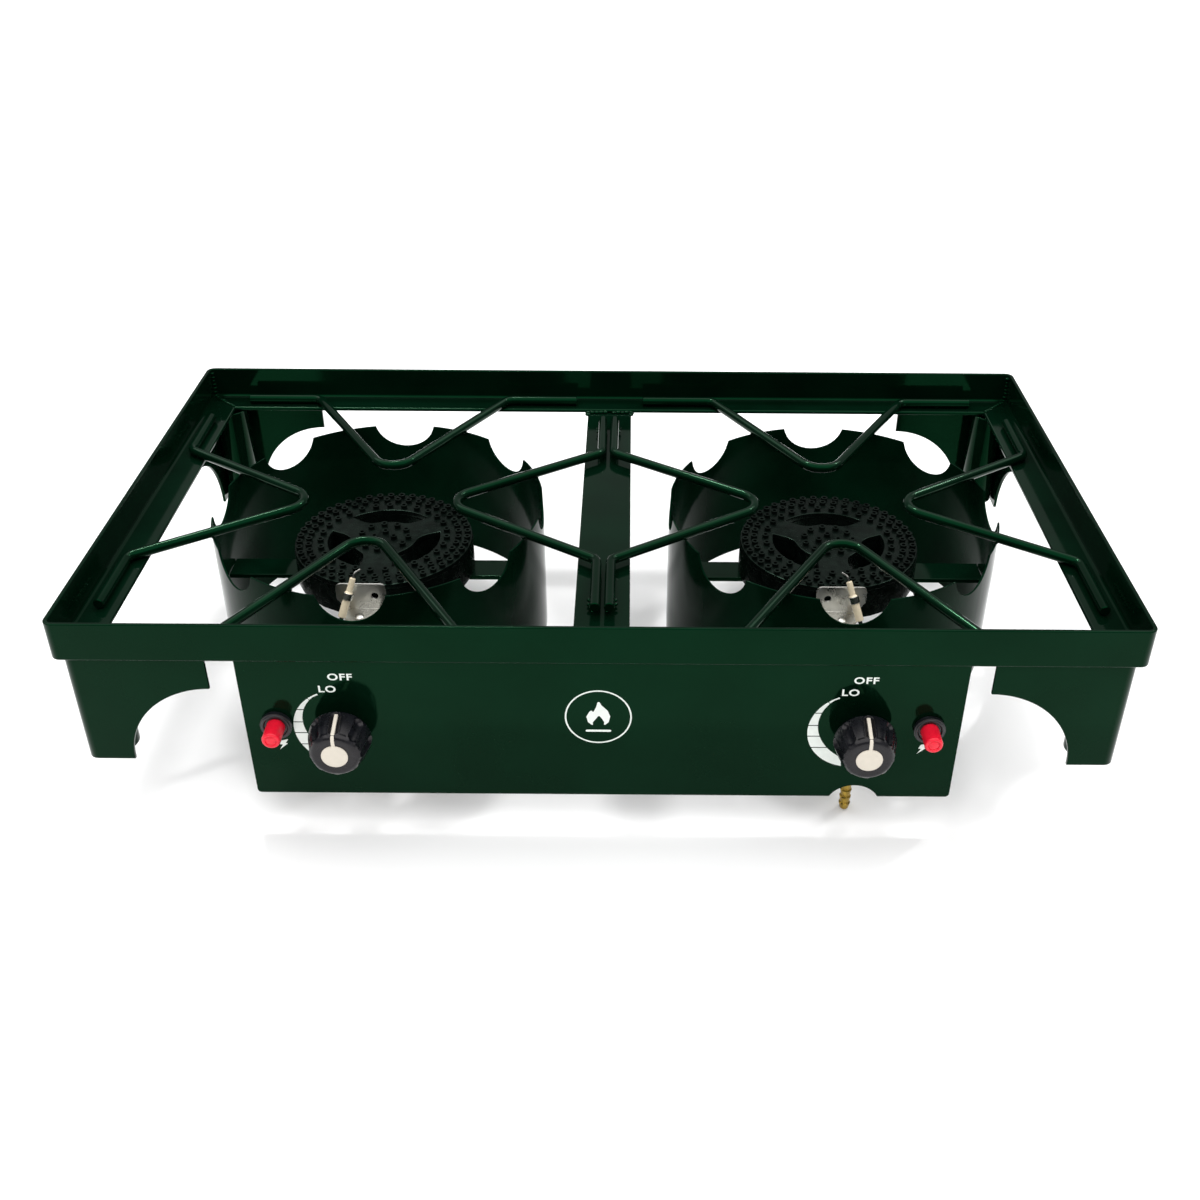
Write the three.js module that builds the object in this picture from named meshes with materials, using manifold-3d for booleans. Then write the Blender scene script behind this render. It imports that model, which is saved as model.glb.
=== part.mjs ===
// Two-burner gas camping stove. Millimetres, +X right, +Y to the back, +Z up.
// Everything is drawn from one datum: X = 0 on the centre line, Y = 0 on the front face of the
// top frame, Z = 0 on the frame's top edge. The last lines move the finished stove so that its
// origin is the middle of its footprint, level with its lowest point.

import * as THREE from 'three';
import { mergeVertices } from 'three/addons/utils/BufferGeometryUtils.js';
import Module from 'manifold-3d';

const wasm = await Module();
wasm.setup();

// ---------------------------------------------------------------- driving dimensions

const gap = 0.3;                       // clear space kept between touching pieces

const frame = {
  width: 750, depth: 420, height: 30,  // outside of the angle-iron ring
  flange: 28, wall: 3, cornerRadius: 7,
};
const bar = { width: 40, thickness: 3, overlap: 21 };
const rod = {
  radius: 4, tip: 62,                  // tip: how near the bend comes to the cell's centre
  halfBase: 87, halfLength: 152,       // where the arms meet the rail, and where the rod ends
  railInset: 18, barInset: 5, outerInset: 15,
  tipBend: 18, baseBend: 10,
};
const cell = { x: 182.5, y: 210 };     // middle of each of the two cooking places

const leg = {
  inset: 5, wall: 2.5, span: 98, bottom: -121, cornerRadius: 8, cutRadius: 63.5,
  socketRadius: 14.5, socketBore: 12.5, socketBottom: -119,
};

const burner = {
  x: 184.5, y: 218, top: -62,
  plate: 5, radius: 73, ringInner: 46, hubRadius: 27, armWidth: 24,
  bodyRadius: 73.5, bottom: -90.7, floor: 4, wall: 4.5,
};
const mixer = { z: -93.5, radius: 13, bore: 10, bellRadius: 16.5, front: 56, back: 166 };
const carrier = { width: 25, thickness: 4, top: -91 };      // flat bar that holds the burner

const shield = {
  radius: 133, depthRadius: 142, y: 217, wall: 1.5, top: -27.4, bottom: -146,
  notches: 8, notchHalfWidth: 26, notchDepth: 20.6, slotHalfWidth: 27, slotTop: -72,
};

const panel = {
  x: 1.6, width: 504.6, face: 2, wall: 1.5, bottom: -149.5, cornerRadius: 6, returnDepth: 17,
  notchX: 184, notchHalfWidth: 17.5, notchHeight: 10.5,
};
const knob = {
  x: 183.1, z: -87.2, back: -8, front: -31, backRadius: 21.9, frontRadius: 17.5, edge: 2.4,
  grips: 8, gripRadius: 2.6, hubRadius: 7.5, shell: 15, hollowFront: -22, travel: 3,
};
const pointer = { radius: 9, width: 2.4, depth: 2, proud: 0.8, sideEnd: -20 };
const stem = { radius: 4, back: 32.5, front: -22 };
const valve = {
  barrelRadius: 11, back: 40, blockHalf: 10, blockFront: 10, blockBack: 34, blockBottom: -121,
  spudRadius: 7, spudBack: 44, springBore: 7.4, springDepth: 18,
};
const manifold = { y: 22, z: -106, radius: 6.5, bore: 4.5, socket: 14 };
const barb = { x: 182, y: 20, tip: -176, rise: 5 };
const jet = { hexRadius: 5, hexBack: 50, tip: 54, bore: 0.8 };

const igniter = {
  x: 229.6, z: -85, nutRadius: 10.9, nutFront: -2.5, bodyRadius: 8, back: 44,
  buttonRadius: 6.5, buttonFront: -18, buttonBack: 1, travel: 7, boreEnd: 10,
};
const bracket = {
  x: 188, offset: -2.5, y: 140, top: -56.5, halfWidth: 19.7, tongue: 13, wall: 1.2, seat: -80.5,
  screwY: 125, holeX: 10.5, holeZ: -67.5,
};
const electrode = {
  foot: [13.5, 123.5, -77.5], head: [4, 136, -49], radius: 3.2, collar: 4.2, tipReach: [5, 6, 4],
  wireRadius: 0.8,
};
const lead = { radius: 1.6 };

// ---------------------------------------------------------------- materials

const finish = (color, roughness, metalness) =>
  new THREE.MeshStandardMaterial({ color, roughness, metalness });
const enamel = finish(0x12301f, 0.2, 0.1);
const castIron = finish(0x1b1c1b, 0.6, 0.4);
const brightSteel = finish(0xb9b6ac, 0.35, 1);
const brass = finish(0xb8963e, 0.3, 1);
const blackPlastic = finish(0x17161a, 0.4, 0);
const creamPlastic = finish(0xe8dccb, 0.5, 0);
const redPlastic = finish(0xd8203a, 0.35, 0);
const ceramic = finish(0xf3e4c8, 0.4, 0);

// ---------------------------------------------------------------- solids

/** A closed three.js geometry as a solid that can be joined and cut. */
function solid(geometry) {
  const bare = geometry.index ? geometry.toNonIndexed() : geometry.clone();
  bare.deleteAttribute('normal');
  bare.deleteAttribute('uv');
  const merged = mergeVertices(bare, 1e-4);
  const corners = merged.index.array;
  const triangles = [];
  for (let i = 0; i < corners.length; i += 3) {
    const [a, b, c] = corners.slice(i, i + 3);
    if (a !== b && b !== c && c !== a) triangles.push(a, b, c);
  }
  return new wasm.Manifold(new wasm.Mesh({
    numProp: 3,
    vertProperties: merged.attributes.position.array,
    triVerts: new Uint32Array(triangles),
  }));
}

const join = (...geometries) => geometries.map(solid).reduce((all, next) => all.add(next));
const cut = (body, ...tools) => tools.reduce((rest, tool) => rest.subtract(solid(tool)), body);

function toGeometry(body) {
  const mesh = body.getMesh();
  const geometry = new THREE.BufferGeometry();
  geometry.setAttribute('position', new THREE.BufferAttribute(mesh.vertProperties, 3));
  geometry.setIndex(new THREE.BufferAttribute(mesh.triVerts, 1));
  return geometry;
}

function block(x0, x1, y0, y1, z0, z1) {
  return new THREE.BoxGeometry(x1 - x0, y1 - y0, z1 - z0)
    .translate((x0 + x1) / 2, (y0 + y1) / 2, (z0 + z1) / 2);
}

/** A round bar between two heights along 'x', 'y' or 'z', centred on the other two values. */
function round(axis, radius, from, to, centre, sides = 16) {
  const geometry = new THREE.CylinderGeometry(radius, radius, to - from, sides);
  const middle = (from + to) / 2;
  if (axis === 'x') return geometry.rotateZ(Math.PI / 2).translate(middle, centre[0], centre[1]);
  if (axis === 'y') return geometry.translate(centre[0], middle, centre[1]);
  return geometry.rotateX(Math.PI / 2).translate(centre[0], centre[1], middle);
}

/** A turned piece: profile points [radius, height], bottom first on the outside. */
function turned(profile, sides = 20) {
  return new THREE.LatheGeometry(profile.map(([r, h]) => new THREE.Vector2(r, h)), sides);
}

const upright = (geometry) => geometry.rotateX(Math.PI / 2);

/** A ring between two radii and two heights, about +Y. */
function ring(inner, outer, from, to, sides = 20) {
  return turned([[inner, from], [outer, from], [outer, to], [inner, to], [inner, from]], sides);
}

function plate(points, from, to) {
  const shape = new THREE.Shape(points.map(([x, y]) => new THREE.Vector2(x, y)));
  return new THREE.ExtrudeGeometry(shape, { depth: to - from, bevelEnabled: false })
    .translate(0, 0, from);
}

/** Corner points of a rectangle with rounded corners; each corner is a quarter arc. */
function roundedRectangle(x0, x1, y0, y1, radius, steps = 3) {
  const corners = [[x1, y1, 0], [x0, y1, 1], [x0, y0, 2], [x1, y0, 3]];
  return corners.flatMap(([x, y, quarter]) => {
    const cx = x - Math.sign(x - (x0 + x1) / 2) * radius;
    const cy = y - Math.sign(y - (y0 + y1) / 2) * radius;
    return Array.from({ length: steps + 1 }, (_, i) => {
      const angle = (quarter + i / steps) * Math.PI / 2;
      return [cx + radius * Math.cos(angle), cy + radius * Math.sin(angle)];
    });
  });
}

/** Turns a shape over across X or Y, and keeps its faces pointing out. */
function mirrored(geometry, signX, signY = 1) {
  const copy = geometry.index ? geometry.toNonIndexed() : geometry.clone();
  copy.scale(signX, signY, 1);
  if (signX * signY < 0) {
    const p = copy.attributes.position;
    for (let i = 0; i < p.count; i += 3) {
      const [x, y, z] = [p.getX(i), p.getY(i), p.getZ(i)];
      p.setXYZ(i, p.getX(i + 2), p.getY(i + 2), p.getZ(i + 2));
      p.setXYZ(i + 2, x, y, z);
    }
  }
  return copy;
}

// ---------------------------------------------------------------- bent rods and wires

/** A curve through given stations, with one section of a tube at each of them. */
class StationPath extends THREE.Curve {
  constructor(stations) {
    super();
    this.stations = stations;
  }

  getPoint(t, target = new THREE.Vector3()) {
    const place = t * (this.stations.length - 1);
    const first = Math.min(Math.floor(place), this.stations.length - 2);
    return target.lerpVectors(this.stations[first], this.stations[first + 1], place - first);
  }

  getUtoTmapping(u) {
    return u;
  }
}

/** Stations along straight runs whose corners are bent to a radius. */
function bentRoute(corners, bends) {
  const stations = [corners[0].clone()];
  for (let i = 1; i < corners.length - 1; i += 1) {
    const back = corners[i - 1].clone().sub(corners[i]).normalize();
    const ahead = corners[i + 1].clone().sub(corners[i]).normalize();
    const half = back.angleTo(ahead) / 2;
    const start = corners[i].clone().addScaledVector(back, bends[i - 1] / Math.tan(half));
    const middle = back.clone().add(ahead).normalize();
    const centre = corners[i].clone().addScaledVector(middle, bends[i - 1] / Math.sin(half));
    const axis = new THREE.Vector3().crossVectors(ahead, back).normalize();
    const turn = Math.PI - 2 * half;
    const steps = Math.max(2, Math.round(turn / (Math.PI / 7)));
    for (let k = 0; k <= steps; k += 1) {
      const arm = start.clone().sub(centre).applyAxisAngle(axis, turn * k / steps);
      stations.push(arm.add(centre));
    }
  }
  stations.push(corners[corners.length - 1].clone());
  return stations;
}

function tube(stations, radius, sides = 8) {
  const section = Array.from({ length: sides }, (_, i) => {
    const angle = (i + 0.5) * 2 * Math.PI / sides;
    return new THREE.Vector2(radius * Math.cos(angle), radius * Math.sin(angle));
  });
  return new THREE.ExtrudeGeometry(new THREE.Shape(section), {
    steps: stations.length - 1, extrudePath: new StationPath(stations),
  });
}

// ---------------------------------------------------------------- the assembly

const stove = new THREE.Group();
stove.name = 'camping_stove';

function add(name, shape, material) {
  const body = shape instanceof THREE.BufferGeometry ? solid(shape) : shape;
  const mesh = new THREE.Mesh(toGeometry(body), material);
  mesh.name = name;
  stove.add(mesh);
}

// Top frame: one ring of angle iron, its upright wall outside and its shelf inside at the
// bottom, mitred into four rails.
function addFrame() {
  const half = frame.width / 2;
  const { depth, height, flange, wall, cornerRadius } = frame;
  const outline = (inset, radius) =>
    roundedRectangle(-half + inset, half - inset, inset, depth - inset, radius);
  const angleRing = cut(
    solid(plate(outline(0, cornerRadius), -height, 0)),
    plate(outline(wall, cornerRadius - wall), -height + wall, 1),
    plate(outline(flange, 1), -height - 1, 1),
  );
  const reach = 60;
  const g = gap / 2 * Math.SQRT2;
  const outside = 5;
  const front = [[-half - outside + g, -outside], [half + outside - g, -outside],
    [half - reach - g, reach], [-half + reach + g, reach]];
  const left = [[-half - outside, -outside + g], [-half + reach, reach + g],
    [-half + reach, depth - reach - g], [-half - outside, depth + outside - g]];
  const back = front.map(([x, y]) => [x, depth - y]).reverse();
  const right = left.map(([x, y]) => [-x, y]).reverse();
  Object.entries({ front, back, left, right }).forEach(([side, wedge]) => {
    const rail = angleRing.intersect(solid(plate(wedge, -height - 2, 2)));
    add(`frame_${side}_rail`, rail, enamel);
  });
}

// Flat bar from front to back, welded under both shelves.
function addCentreBar() {
  const top = -frame.height - gap;
  const { width, thickness, overlap } = bar;
  const front = frame.flange - overlap;
  add('centre_bar',
    block(-width / 2, width / 2, front, frame.depth - front, top - thickness, top), enamel);
}

// Each pot support is one round bar bent to a V. Its tip points at the middle of the cell and
// its two ends lie along the rail or the centre bar that they are welded to.
function supportRoute(base) {
  let vertex = rod.tip;
  for (let pass = 0; pass < 6; pass += 1) {
    const slope = Math.atan2(rod.halfBase, base - vertex);
    vertex = rod.tip - rod.tipBend * (1 / Math.sin(slope) - 1);
  }
  const corners = [[base, -rod.halfLength], [base, -rod.halfBase], [vertex, 0],
    [base, rod.halfBase], [base, rod.halfLength]];
  const bends = [rod.baseBend, rod.tipBend, rod.baseBend];
  return bentRoute(corners.map(([u, v]) => new THREE.Vector3(u, v, 0)), bends);
}

function addPotSupports(side, sign) {
  const z = -frame.height + frame.wall + gap + rod.radius;
  const outerBase = frame.width / 2 - rod.outerInset - cell.x;
  const innerBase = cell.x - rod.barInset;
  const places = {
    outer: [outerBase, sign > 0 ? 0 : Math.PI],
    inner: [innerBase, sign > 0 ? Math.PI : 0],
    back: [frame.depth - rod.railInset - cell.y, Math.PI / 2],
    front: [cell.y - rod.railInset, -Math.PI / 2],
  };
  Object.entries(places).forEach(([place, [base, angle]]) => {
    const shape = tube(supportRoute(base), rod.radius)
      .rotateZ(angle).translate(sign * cell.x, cell.y, z);
    add(`${side}_support_${place}`, shape, enamel);
  });
}

// Each corner has a bracket bent from sheet, with a quarter-round cut-out in both faces, and
// behind it an upright tube that takes a removable leg.
function addLegCorner(name, signX, signY) {
  const { inset, wall, span, bottom, cornerRadius, cutRadius } = leg;
  const top = -frame.height - gap;
  const outer = roundedRectangle(0, 2 * span, 0, 2 * span, cornerRadius);
  const inner = roundedRectangle(wall, 2 * span, wall, 2 * span, cornerRadius - wall);
  const sheet = cut(
    solid(plate(outer, bottom, top)),
    plate(inner, bottom - 1, top + 1),
    block(span, 3 * span, -1, 3 * span, bottom - 1, top + 1),
    block(-1, 3 * span, span, 3 * span, bottom - 1, top + 1),
    round('y', cutRadius, -1, wall + 3, [span, bottom], 40),
    round('x', cutRadius, -1, wall + 3, [span, bottom], 40),
  );
  const place = (geometry) => mirrored(geometry
    .translate(-frame.width / 2 + inset, inset - frame.depth / 2, 0), -signX, -signY)
    .translate(0, frame.depth / 2, 0);
  add(`leg_bracket_${name}`, place(toGeometry(sheet)), enamel);
  const centre = wall + gap + 0.2 + leg.socketRadius;
  const socket = upright(ring(leg.socketBore, leg.socketRadius, leg.socketBottom, top - gap, 16))
    .translate(centre, centre, 0);
  add(`leg_socket_${name}`, place(socket), enamel);
}

// Round windshield with scallops in its top edge and an arch for the burner's mixing tube.
function addWindshield(side, sign) {
  const { radius, depthRadius, wall, top, bottom, notches, notchHalfWidth: half, notchDepth: deep } = shield;
  const notchRadius = (half * half + deep * deep) / (2 * deep);
  const mixerX = sign * knob.x + panel.x - sign * burner.x;
  const tools = Array.from({ length: notches }, (_, i) =>
    round('x', notchRadius, radius / 2, 2 * radius, [0, top - deep + notchRadius], 24)
      .rotateZ(i * 2 * Math.PI / notches));
  const slotCentre = shield.slotTop - shield.slotHalfWidth;
  tools.push(round('y', shield.slotHalfWidth, -2 * radius, -radius / 2, [mixerX, slotCentre], 20));
  tools.push(block(mixerX - shield.slotHalfWidth, mixerX + shield.slotHalfWidth,
    -2 * radius, -radius / 2, bottom - 1, slotCentre));
  const oval = (round0, from, to) => new THREE.CylinderGeometry(1, 1, to - from, 48)
    .rotateX(Math.PI / 2).scale(radius - round0, depthRadius - round0, 1)
    .translate(0, 0, (from + to) / 2);
  const wallRing = solid(oval(0, bottom, top)).subtract(solid(oval(wall, bottom - 1, top + 1)));
  const body = toGeometry(cut(wallRing, ...tools)).translate(sign * burner.x, shield.y, 0);
  add(`${side}_windshield`, body, enamel);
}

/** Plan of the burner about the Z axis: an outer ring, a hub and three arms between them. */
function burnerPlan(outer, inner, hub, armWidth, from, to) {
  const arms = [30, 150, 270].map((degrees) =>
    block(hub / 2, inner + 4, -armWidth / 2, armWidth / 2, from, to)
      .rotateZ(degrees * Math.PI / 180));
  return join(upright(ring(inner, outer, from, to, 32)), round('z', hub, from, to, [0, 0], 20),
    ...arms);
}

// Cast burner: a channel-shaped body with its mixing tube, under a flat cap. The nozzles on the
// cap are too small to matter here.
function addBurner(side, sign) {
  const { top, plate: capHeight, radius, ringInner, hubRadius, armWidth } = burner;
  const { bodyRadius, bottom, floor, wall } = burner;
  const place = (geometry) => geometry.translate(sign * burner.x, burner.y, 0);
  add(`${side}_burner_cap`,
    place(toGeometry(burnerPlan(radius, ringInner, hubRadius, armWidth, top - capHeight, top))),
    castIron);

  const seat = top - capHeight - gap;
  const mixerX = sign * knob.x + panel.x - sign * burner.x;
  const padX = sign * (bracket.x - burner.x) + bracket.offset;
  const padTop = bracket.seat - gap;
  const front = mixer.front - burner.y;
  const back = mixer.back - burner.y;
  const shell = burnerPlan(bodyRadius, ringInner, hubRadius, armWidth, bottom, seat);
  const mixerTube = round('y', mixer.radius, front, back, [mixerX, mixer.z]);
  const bell = turned([[0, front], [mixer.bellRadius, front], [mixer.bellRadius, front + 5],
    [mixer.radius - 0.5, front + 16], [0, front + 16]], 16).translate(mixerX, 0, mixer.z);
  const pad = block(padX - 11, padX + 11, 114 - burner.y, bracket.y - 4 - burner.y,
    mixer.z, padTop);
  const outside = shell.add(join(mixerTube, bell, pad));
  const channel = burnerPlan(bodyRadius - wall, ringInner + wall, hubRadius - wall,
    armWidth - 2 * wall, bottom + floor, seat + 1);
  const bore = round('y', mixer.bore, front - 1, back - 4, [mixerX, mixer.z], 16);
  const flare = turned([[0, front - 1], [mixer.bellRadius - 2, front - 1],
    [mixer.bore, front + 12], [0, front + 12]], 16).translate(mixerX, 0, mixer.z);
  const riser = round('z', mixer.bore - 1, mixer.z, seat, [mixerX, back - 15], 12);
  const boltHole = round('z', 3.3, bottom - 1, bottom + 6.5, [0, 0], 8);
  const screwHole = round('z', 2.3, padTop - 9, padTop + 1, [padX, bracket.screwY - burner.y], 8);
  const hubFloor = round('z', hubRadius - 2, bottom, bottom + 9, [0, 0], 20);
  const body = cut(outside.subtract(channel).add(solid(hubFloor)),
    bore, flare, riser, boltHole, screwHole);
  add(`${side}_burner_body`, place(toGeometry(body)), castIron);

  const underside = carrier.top - carrier.thickness;
  const reach = Math.sqrt((shield.radius - shield.wall) ** 2 - (carrier.width / 2) ** 2) - 0.6;
  add(`${side}_burner_bar`, place(toGeometry(cut(
    solid(block(-reach, reach, -carrier.width / 2, carrier.width / 2, underside, carrier.top)),
    round('z', 3.3, underside - 1, carrier.top + 1, [0, 0], 8)))), enamel);
  add(`${side}_burner_bolt`, place(toGeometry(join(
    round('z', 6.5, underside - gap - 5, underside - gap, [0, 0], 6),
    round('z', 3, underside - gap - 1, bottom + 6, [0, 0], 8)))), brightSteel);
}

// Sheet-metal control panel, hung from the front rail by a folded top edge.
function addPanel() {
  const { x, width, face, wall, bottom, cornerRadius, returnDepth } = panel;
  const top = -frame.height - gap;
  const outline = roundedRectangle(x - width / 2, x + width / 2, bottom, top + 20, cornerRadius);
  const sheet = plate(outline, -face - wall, -face).rotateX(Math.PI / 2);
  const fold = block(x - width / 2, x + width / 2, face + wall / 2, face + wall + returnDepth,
    top - wall, top);
  const { notchHalfWidth: half, notchHeight: high } = panel;
  const notchRadius = (half * half + high * high) / (2 * high);
  const holes = [-1, 1].flatMap((sign) => [
    round('y', 6, -5, 9, [x + sign * knob.x, knob.z]),
    round('y', igniter.bodyRadius + gap, -5, 9, [x + sign * igniter.x, igniter.z]),
  ]);
  const body = cut(join(sheet, fold),
    block(x - width, x + width, -5, 9, top, top + 40),
    block(-bar.width / 2 - 3, bar.width / 2 + 3, face + wall + 1, 40, top - 8, top + 1),
    round('y', notchRadius, -5, 9, [panel.notchX, bottom + high - notchRadius], 32),
    ...holes);
  add('control_panel', body, enamel);
}

// Gas valve behind the panel. The stem turns in its barrel, and pushes in against a spring that
// bears on the washer.
function addValve(side, sign) {
  const x = panel.x + sign * knob.x;
  const front = panel.face + panel.wall + gap;
  const { blockHalf, blockFront, blockBack, blockBottom } = valve;
  const inner = x - sign * blockHalf;
  const socketEnd = inner + sign * manifold.socket;
  const socketSpan = [inner - sign * 5, socketEnd].sort((a, b) => a - b);
  const tools = [
    round('y', valve.springBore, 0, valve.springDepth, [x, knob.z]),
    round('y', stem.radius + gap, 0, stem.back + knob.travel + 1, [x, knob.z], 12),
    round('x', manifold.radius + gap, ...socketSpan, [manifold.y, manifold.z], 12),
    round('y', jet.hexRadius - 1 + gap, 38, 50, [x, mixer.z], 12),
    round('y', 1.5, manifold.y, 40, [x, mixer.z], 6),
    round('z', 2, manifold.z, knob.z, [x, manifold.y], 6),
  ];
  if (sign > 0) {
    tools.push(round('z', 4.6, blockBottom - 1, manifold.z, [barb.x, barb.y], 12));
  }
  const body = cut(join(
    round('y', valve.barrelRadius, front, valve.back, [x, knob.z]),
    block(x - blockHalf, x + blockHalf, blockFront, blockBack, blockBottom, knob.z),
    round('y', valve.spudRadius, blockBack - 2, valve.spudBack, [x, mixer.z], 12),
  ), ...tools);
  add(`${side}_gas_valve`, body, brass);
  add(`${side}_valve_stem`,
    round('y', stem.radius, stem.front, stem.back, [x, knob.z], 12), brightSteel);
  add(`${side}_stem_washer`,
    ring(stem.radius + gap, valve.springBore - gap, 8, 9.2, 12).translate(x, 0, knob.z),
    brightSteel);
  const seatBack = valve.spudBack + gap;
  add(`${side}_gas_jet`, turned([
    [jet.bore, 38.5], [3.8, 38.5], [3.8, seatBack], [jet.hexRadius, seatBack],
    [jet.hexRadius, jet.hexBack], [3, jet.hexBack], [2.2, jet.tip], [jet.bore, jet.tip],
    [jet.bore, 38.5],
  ], 6).translate(x, 0, mixer.z), brass);
}

// Pipe between the two valves, and the hose barb under the right-hand one.
function addGasLine() {
  const end = knob.x - valve.blockHalf + manifold.socket - gap;
  add('gas_manifold', ring(manifold.bore, manifold.radius, -end, end, 12)
    .rotateZ(Math.PI / 2).translate(panel.x, manifold.y, manifold.z), brightSteel);
  const top = valve.blockBottom + barb.rise;
  const shoulder = valve.blockBottom - gap;
  const outside = [[4.3, top]];
  outside.push([4.3, shoulder], [7.5, shoulder], [7.5, shoulder - 8], [3.3, shoulder - 8]);
  const ridges = 4;
  const pitch = 6.5;
  const first = barb.tip + ridges * pitch;
  for (let i = 0; i < ridges; i += 1) {
    outside.push([3.3, first - i * pitch], [4.3, first - i * pitch - 1.2]);
  }
  outside.push([2.8, barb.tip], [2, barb.tip], [2, top], [4.3, top]);
  add('hose_barb', upright(turned(outside.reverse(), 12)).translate(barb.x, barb.y, 0), brass);
}

// Push-button spark igniter: a body through the panel, its nut in front and the button in it.
function addIgniter(side, sign) {
  const x = panel.x + sign * igniter.x;
  const { z, bodyRadius, nutFront, boreEnd, back, buttonRadius } = igniter;
  const behind = panel.face + panel.wall + gap;
  const body = cut(join(
    round('y', bodyRadius, nutFront + 1, back, [x, z]),
    round('y', bodyRadius + 2.5, behind, behind + 3, [x, z]),
    round('y', 3, back - 1, back + 6, [x, z], 12),
  ), round('y', buttonRadius + gap, nutFront - 1, boreEnd, [x, z]));
  add(`${side}_igniter_body`, body, blackPlastic);
  add(`${side}_igniter_nut`,
    ring(bodyRadius + gap, igniter.nutRadius, nutFront, panel.face - gap, 20).translate(x, 0, z),
    blackPlastic);
  const { buttonFront, buttonBack } = igniter;
  add(`${side}_igniter_button`, turned([
    [0, buttonFront], [buttonRadius - 2, buttonFront], [buttonRadius - 0.5, buttonFront + 0.8],
    [buttonRadius, buttonFront + 2.2], [buttonRadius, buttonBack], [0, buttonBack],
  ], 16).translate(x, 0, z), redPlastic);
}

// Knob with pocket grips round its side. The cream pointer is one moulding: a round cap on the
// front and a line that runs up the face and back over the side.
function addKnob(side, sign) {
  const x = panel.x + sign * knob.x;
  const { z, back, front, backRadius, frontRadius, edge, grips, gripRadius } = knob;
  const turnedBody = turned([
    [0, front], [frontRadius - edge, front], [frontRadius - edge * 0.3, front + edge * 0.3],
    [frontRadius, front + edge], [backRadius, back], [0, back],
  ], 32);
  const gripTools = Array.from({ length: grips }, (_, i) => {
    const angle = i * 2 * Math.PI / grips;
    const reach = backRadius - 0.3;
    return round('y', gripRadius, front - 1, back - 8,
      [reach * Math.sin(angle), reach * Math.cos(angle)], 8);
  });
  const faceDepth = front + pointer.depth;
  const half = pointer.width / 2;
  const sideDepth = frontRadius - 2;
  const grooves = [
    round('y', pointer.radius + gap, front - 1, faceDepth + gap, [0, 0], 20),
    block(-half - gap, half + gap, front - 1, faceDepth + gap, 0, 40),
    block(-half - gap, half + gap, front - 1, pointer.sideEnd + gap, sideDepth - gap, 40),
  ];
  const hollow = ring(knob.hubRadius, knob.shell, knob.hollowFront, back + 1, 16);
  const bore = round('y', stem.radius + gap, stem.front - gap, back + 1, [0, 0], 12);
  const body = cut(solid(turnedBody), ...gripTools, ...grooves, hollow, bore);
  add(`${side}_knob`, toGeometry(body).translate(x, 0, z), blackPlastic);

  const proudFront = front - pointer.proud;
  const sideTop = frontRadius + pointer.proud;
  const cap = join(
    round('y', pointer.radius, proudFront, faceDepth, [0, 0], 20),
    block(-half, half, proudFront, faceDepth, 1, sideTop),
    block(-half, half, proudFront, pointer.sideEnd, sideDepth, sideTop),
  );
  add(`${side}_knob_pointer`, toGeometry(cap).translate(x, 0, z), creamPlastic);
}

// Spark electrode in front of each burner, on a bent plate screwed to the mixing tube.
function addElectrode(side, sign) {
  const { y, top, halfWidth, tongue, wall, seat } = bracket;
  const x = sign * bracket.x + bracket.offset;
  const upper = roundedRectangle(-halfWidth, halfWidth, top - 17, top, 4);
  const lower = [[-halfWidth, top - 13], [-tongue, seat], [tongue, seat], [halfWidth, top - 13]];
  const stand = (points) => plate(points, -y, -y + wall).rotateX(Math.PI / 2);
  const footEnd = y - tongue;
  const tab = [round('z', tongue, seat, seat + wall, [0, footEnd + 3], 16),
    block(-tongue, tongue, footEnd + 3, y, seat, seat + wall)];
  const sheet = cut(join(stand(upper), stand(lower), ...tab),
    round('z', 2.3, seat - 1, seat + 3, [0, bracket.screwY], 8),
    round('y', 3, y - 5, y + 5, [-sign * bracket.holeX, bracket.holeZ], 10));
  add(`${side}_electrode_bracket`, toGeometry(sheet).translate(x, 0, 0), brightSteel);
  add(`${side}_bracket_screw`, join(
    round('z', 3.6, seat + wall + gap, seat + wall + gap + 2.4, [x, bracket.screwY], 10),
    round('z', 2, seat - 7, seat + wall + gap + 0.5, [x, bracket.screwY], 8),
  ), brightSteel);

  const at = ([dx, py, pz]) => new THREE.Vector3(x + sign * dx, py, pz);
  const foot = at(electrode.foot);
  const head = at(electrode.head);
  const between = (t) => foot.clone().lerp(head, t);
  const tipEnd = head.clone().add(new THREE.Vector3(-sign * electrode.tipReach[0],
    electrode.tipReach[1], electrode.tipReach[2]));
  add(`${side}_electrode`, join(
    tube([foot, head], electrode.radius, 10),
    tube([between(0.45), between(0.65)], electrode.collar, 10),
    tube([between(0.95), between(1.12), tipEnd], electrode.wireRadius, 6),
  ), ceramic);

  const igniterX = panel.x + sign * igniter.x;
  const terminal = igniter.back + 6 + gap;
  const below = between(-0.02);
  const route = bentRoute([below, between(-0.45),
    new THREE.Vector3(sign * 202, 104, -104), new THREE.Vector3(sign * 201, 76, -104),
    new THREE.Vector3(igniterX, 70, igniter.z), new THREE.Vector3(igniterX, terminal, igniter.z),
  ], [8, 8, 8, 8]);
  add(`${side}_ignition_wire`, tube(route, lead.radius, 8), blackPlastic);
}

addFrame();
addCentreBar();
addPanel();
addGasLine();
[['left', -1], ['right', 1]].forEach(([side, sign]) => {
  addPotSupports(side, sign);
  addWindshield(side, sign);
  addBurner(side, sign);
  addValve(side, sign);
  addKnob(side, sign);
  addIgniter(side, sign);
  addElectrode(side, sign);
  addLegCorner(`front_${side}`, sign, -1);
  addLegCorner(`back_${side}`, sign, 1);
});

const bounds = new THREE.Box3().setFromObject(stove);
stove.position.set(0, -(bounds.min.y + bounds.max.y) / 2, -bounds.min.z);

export default stove;
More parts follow.
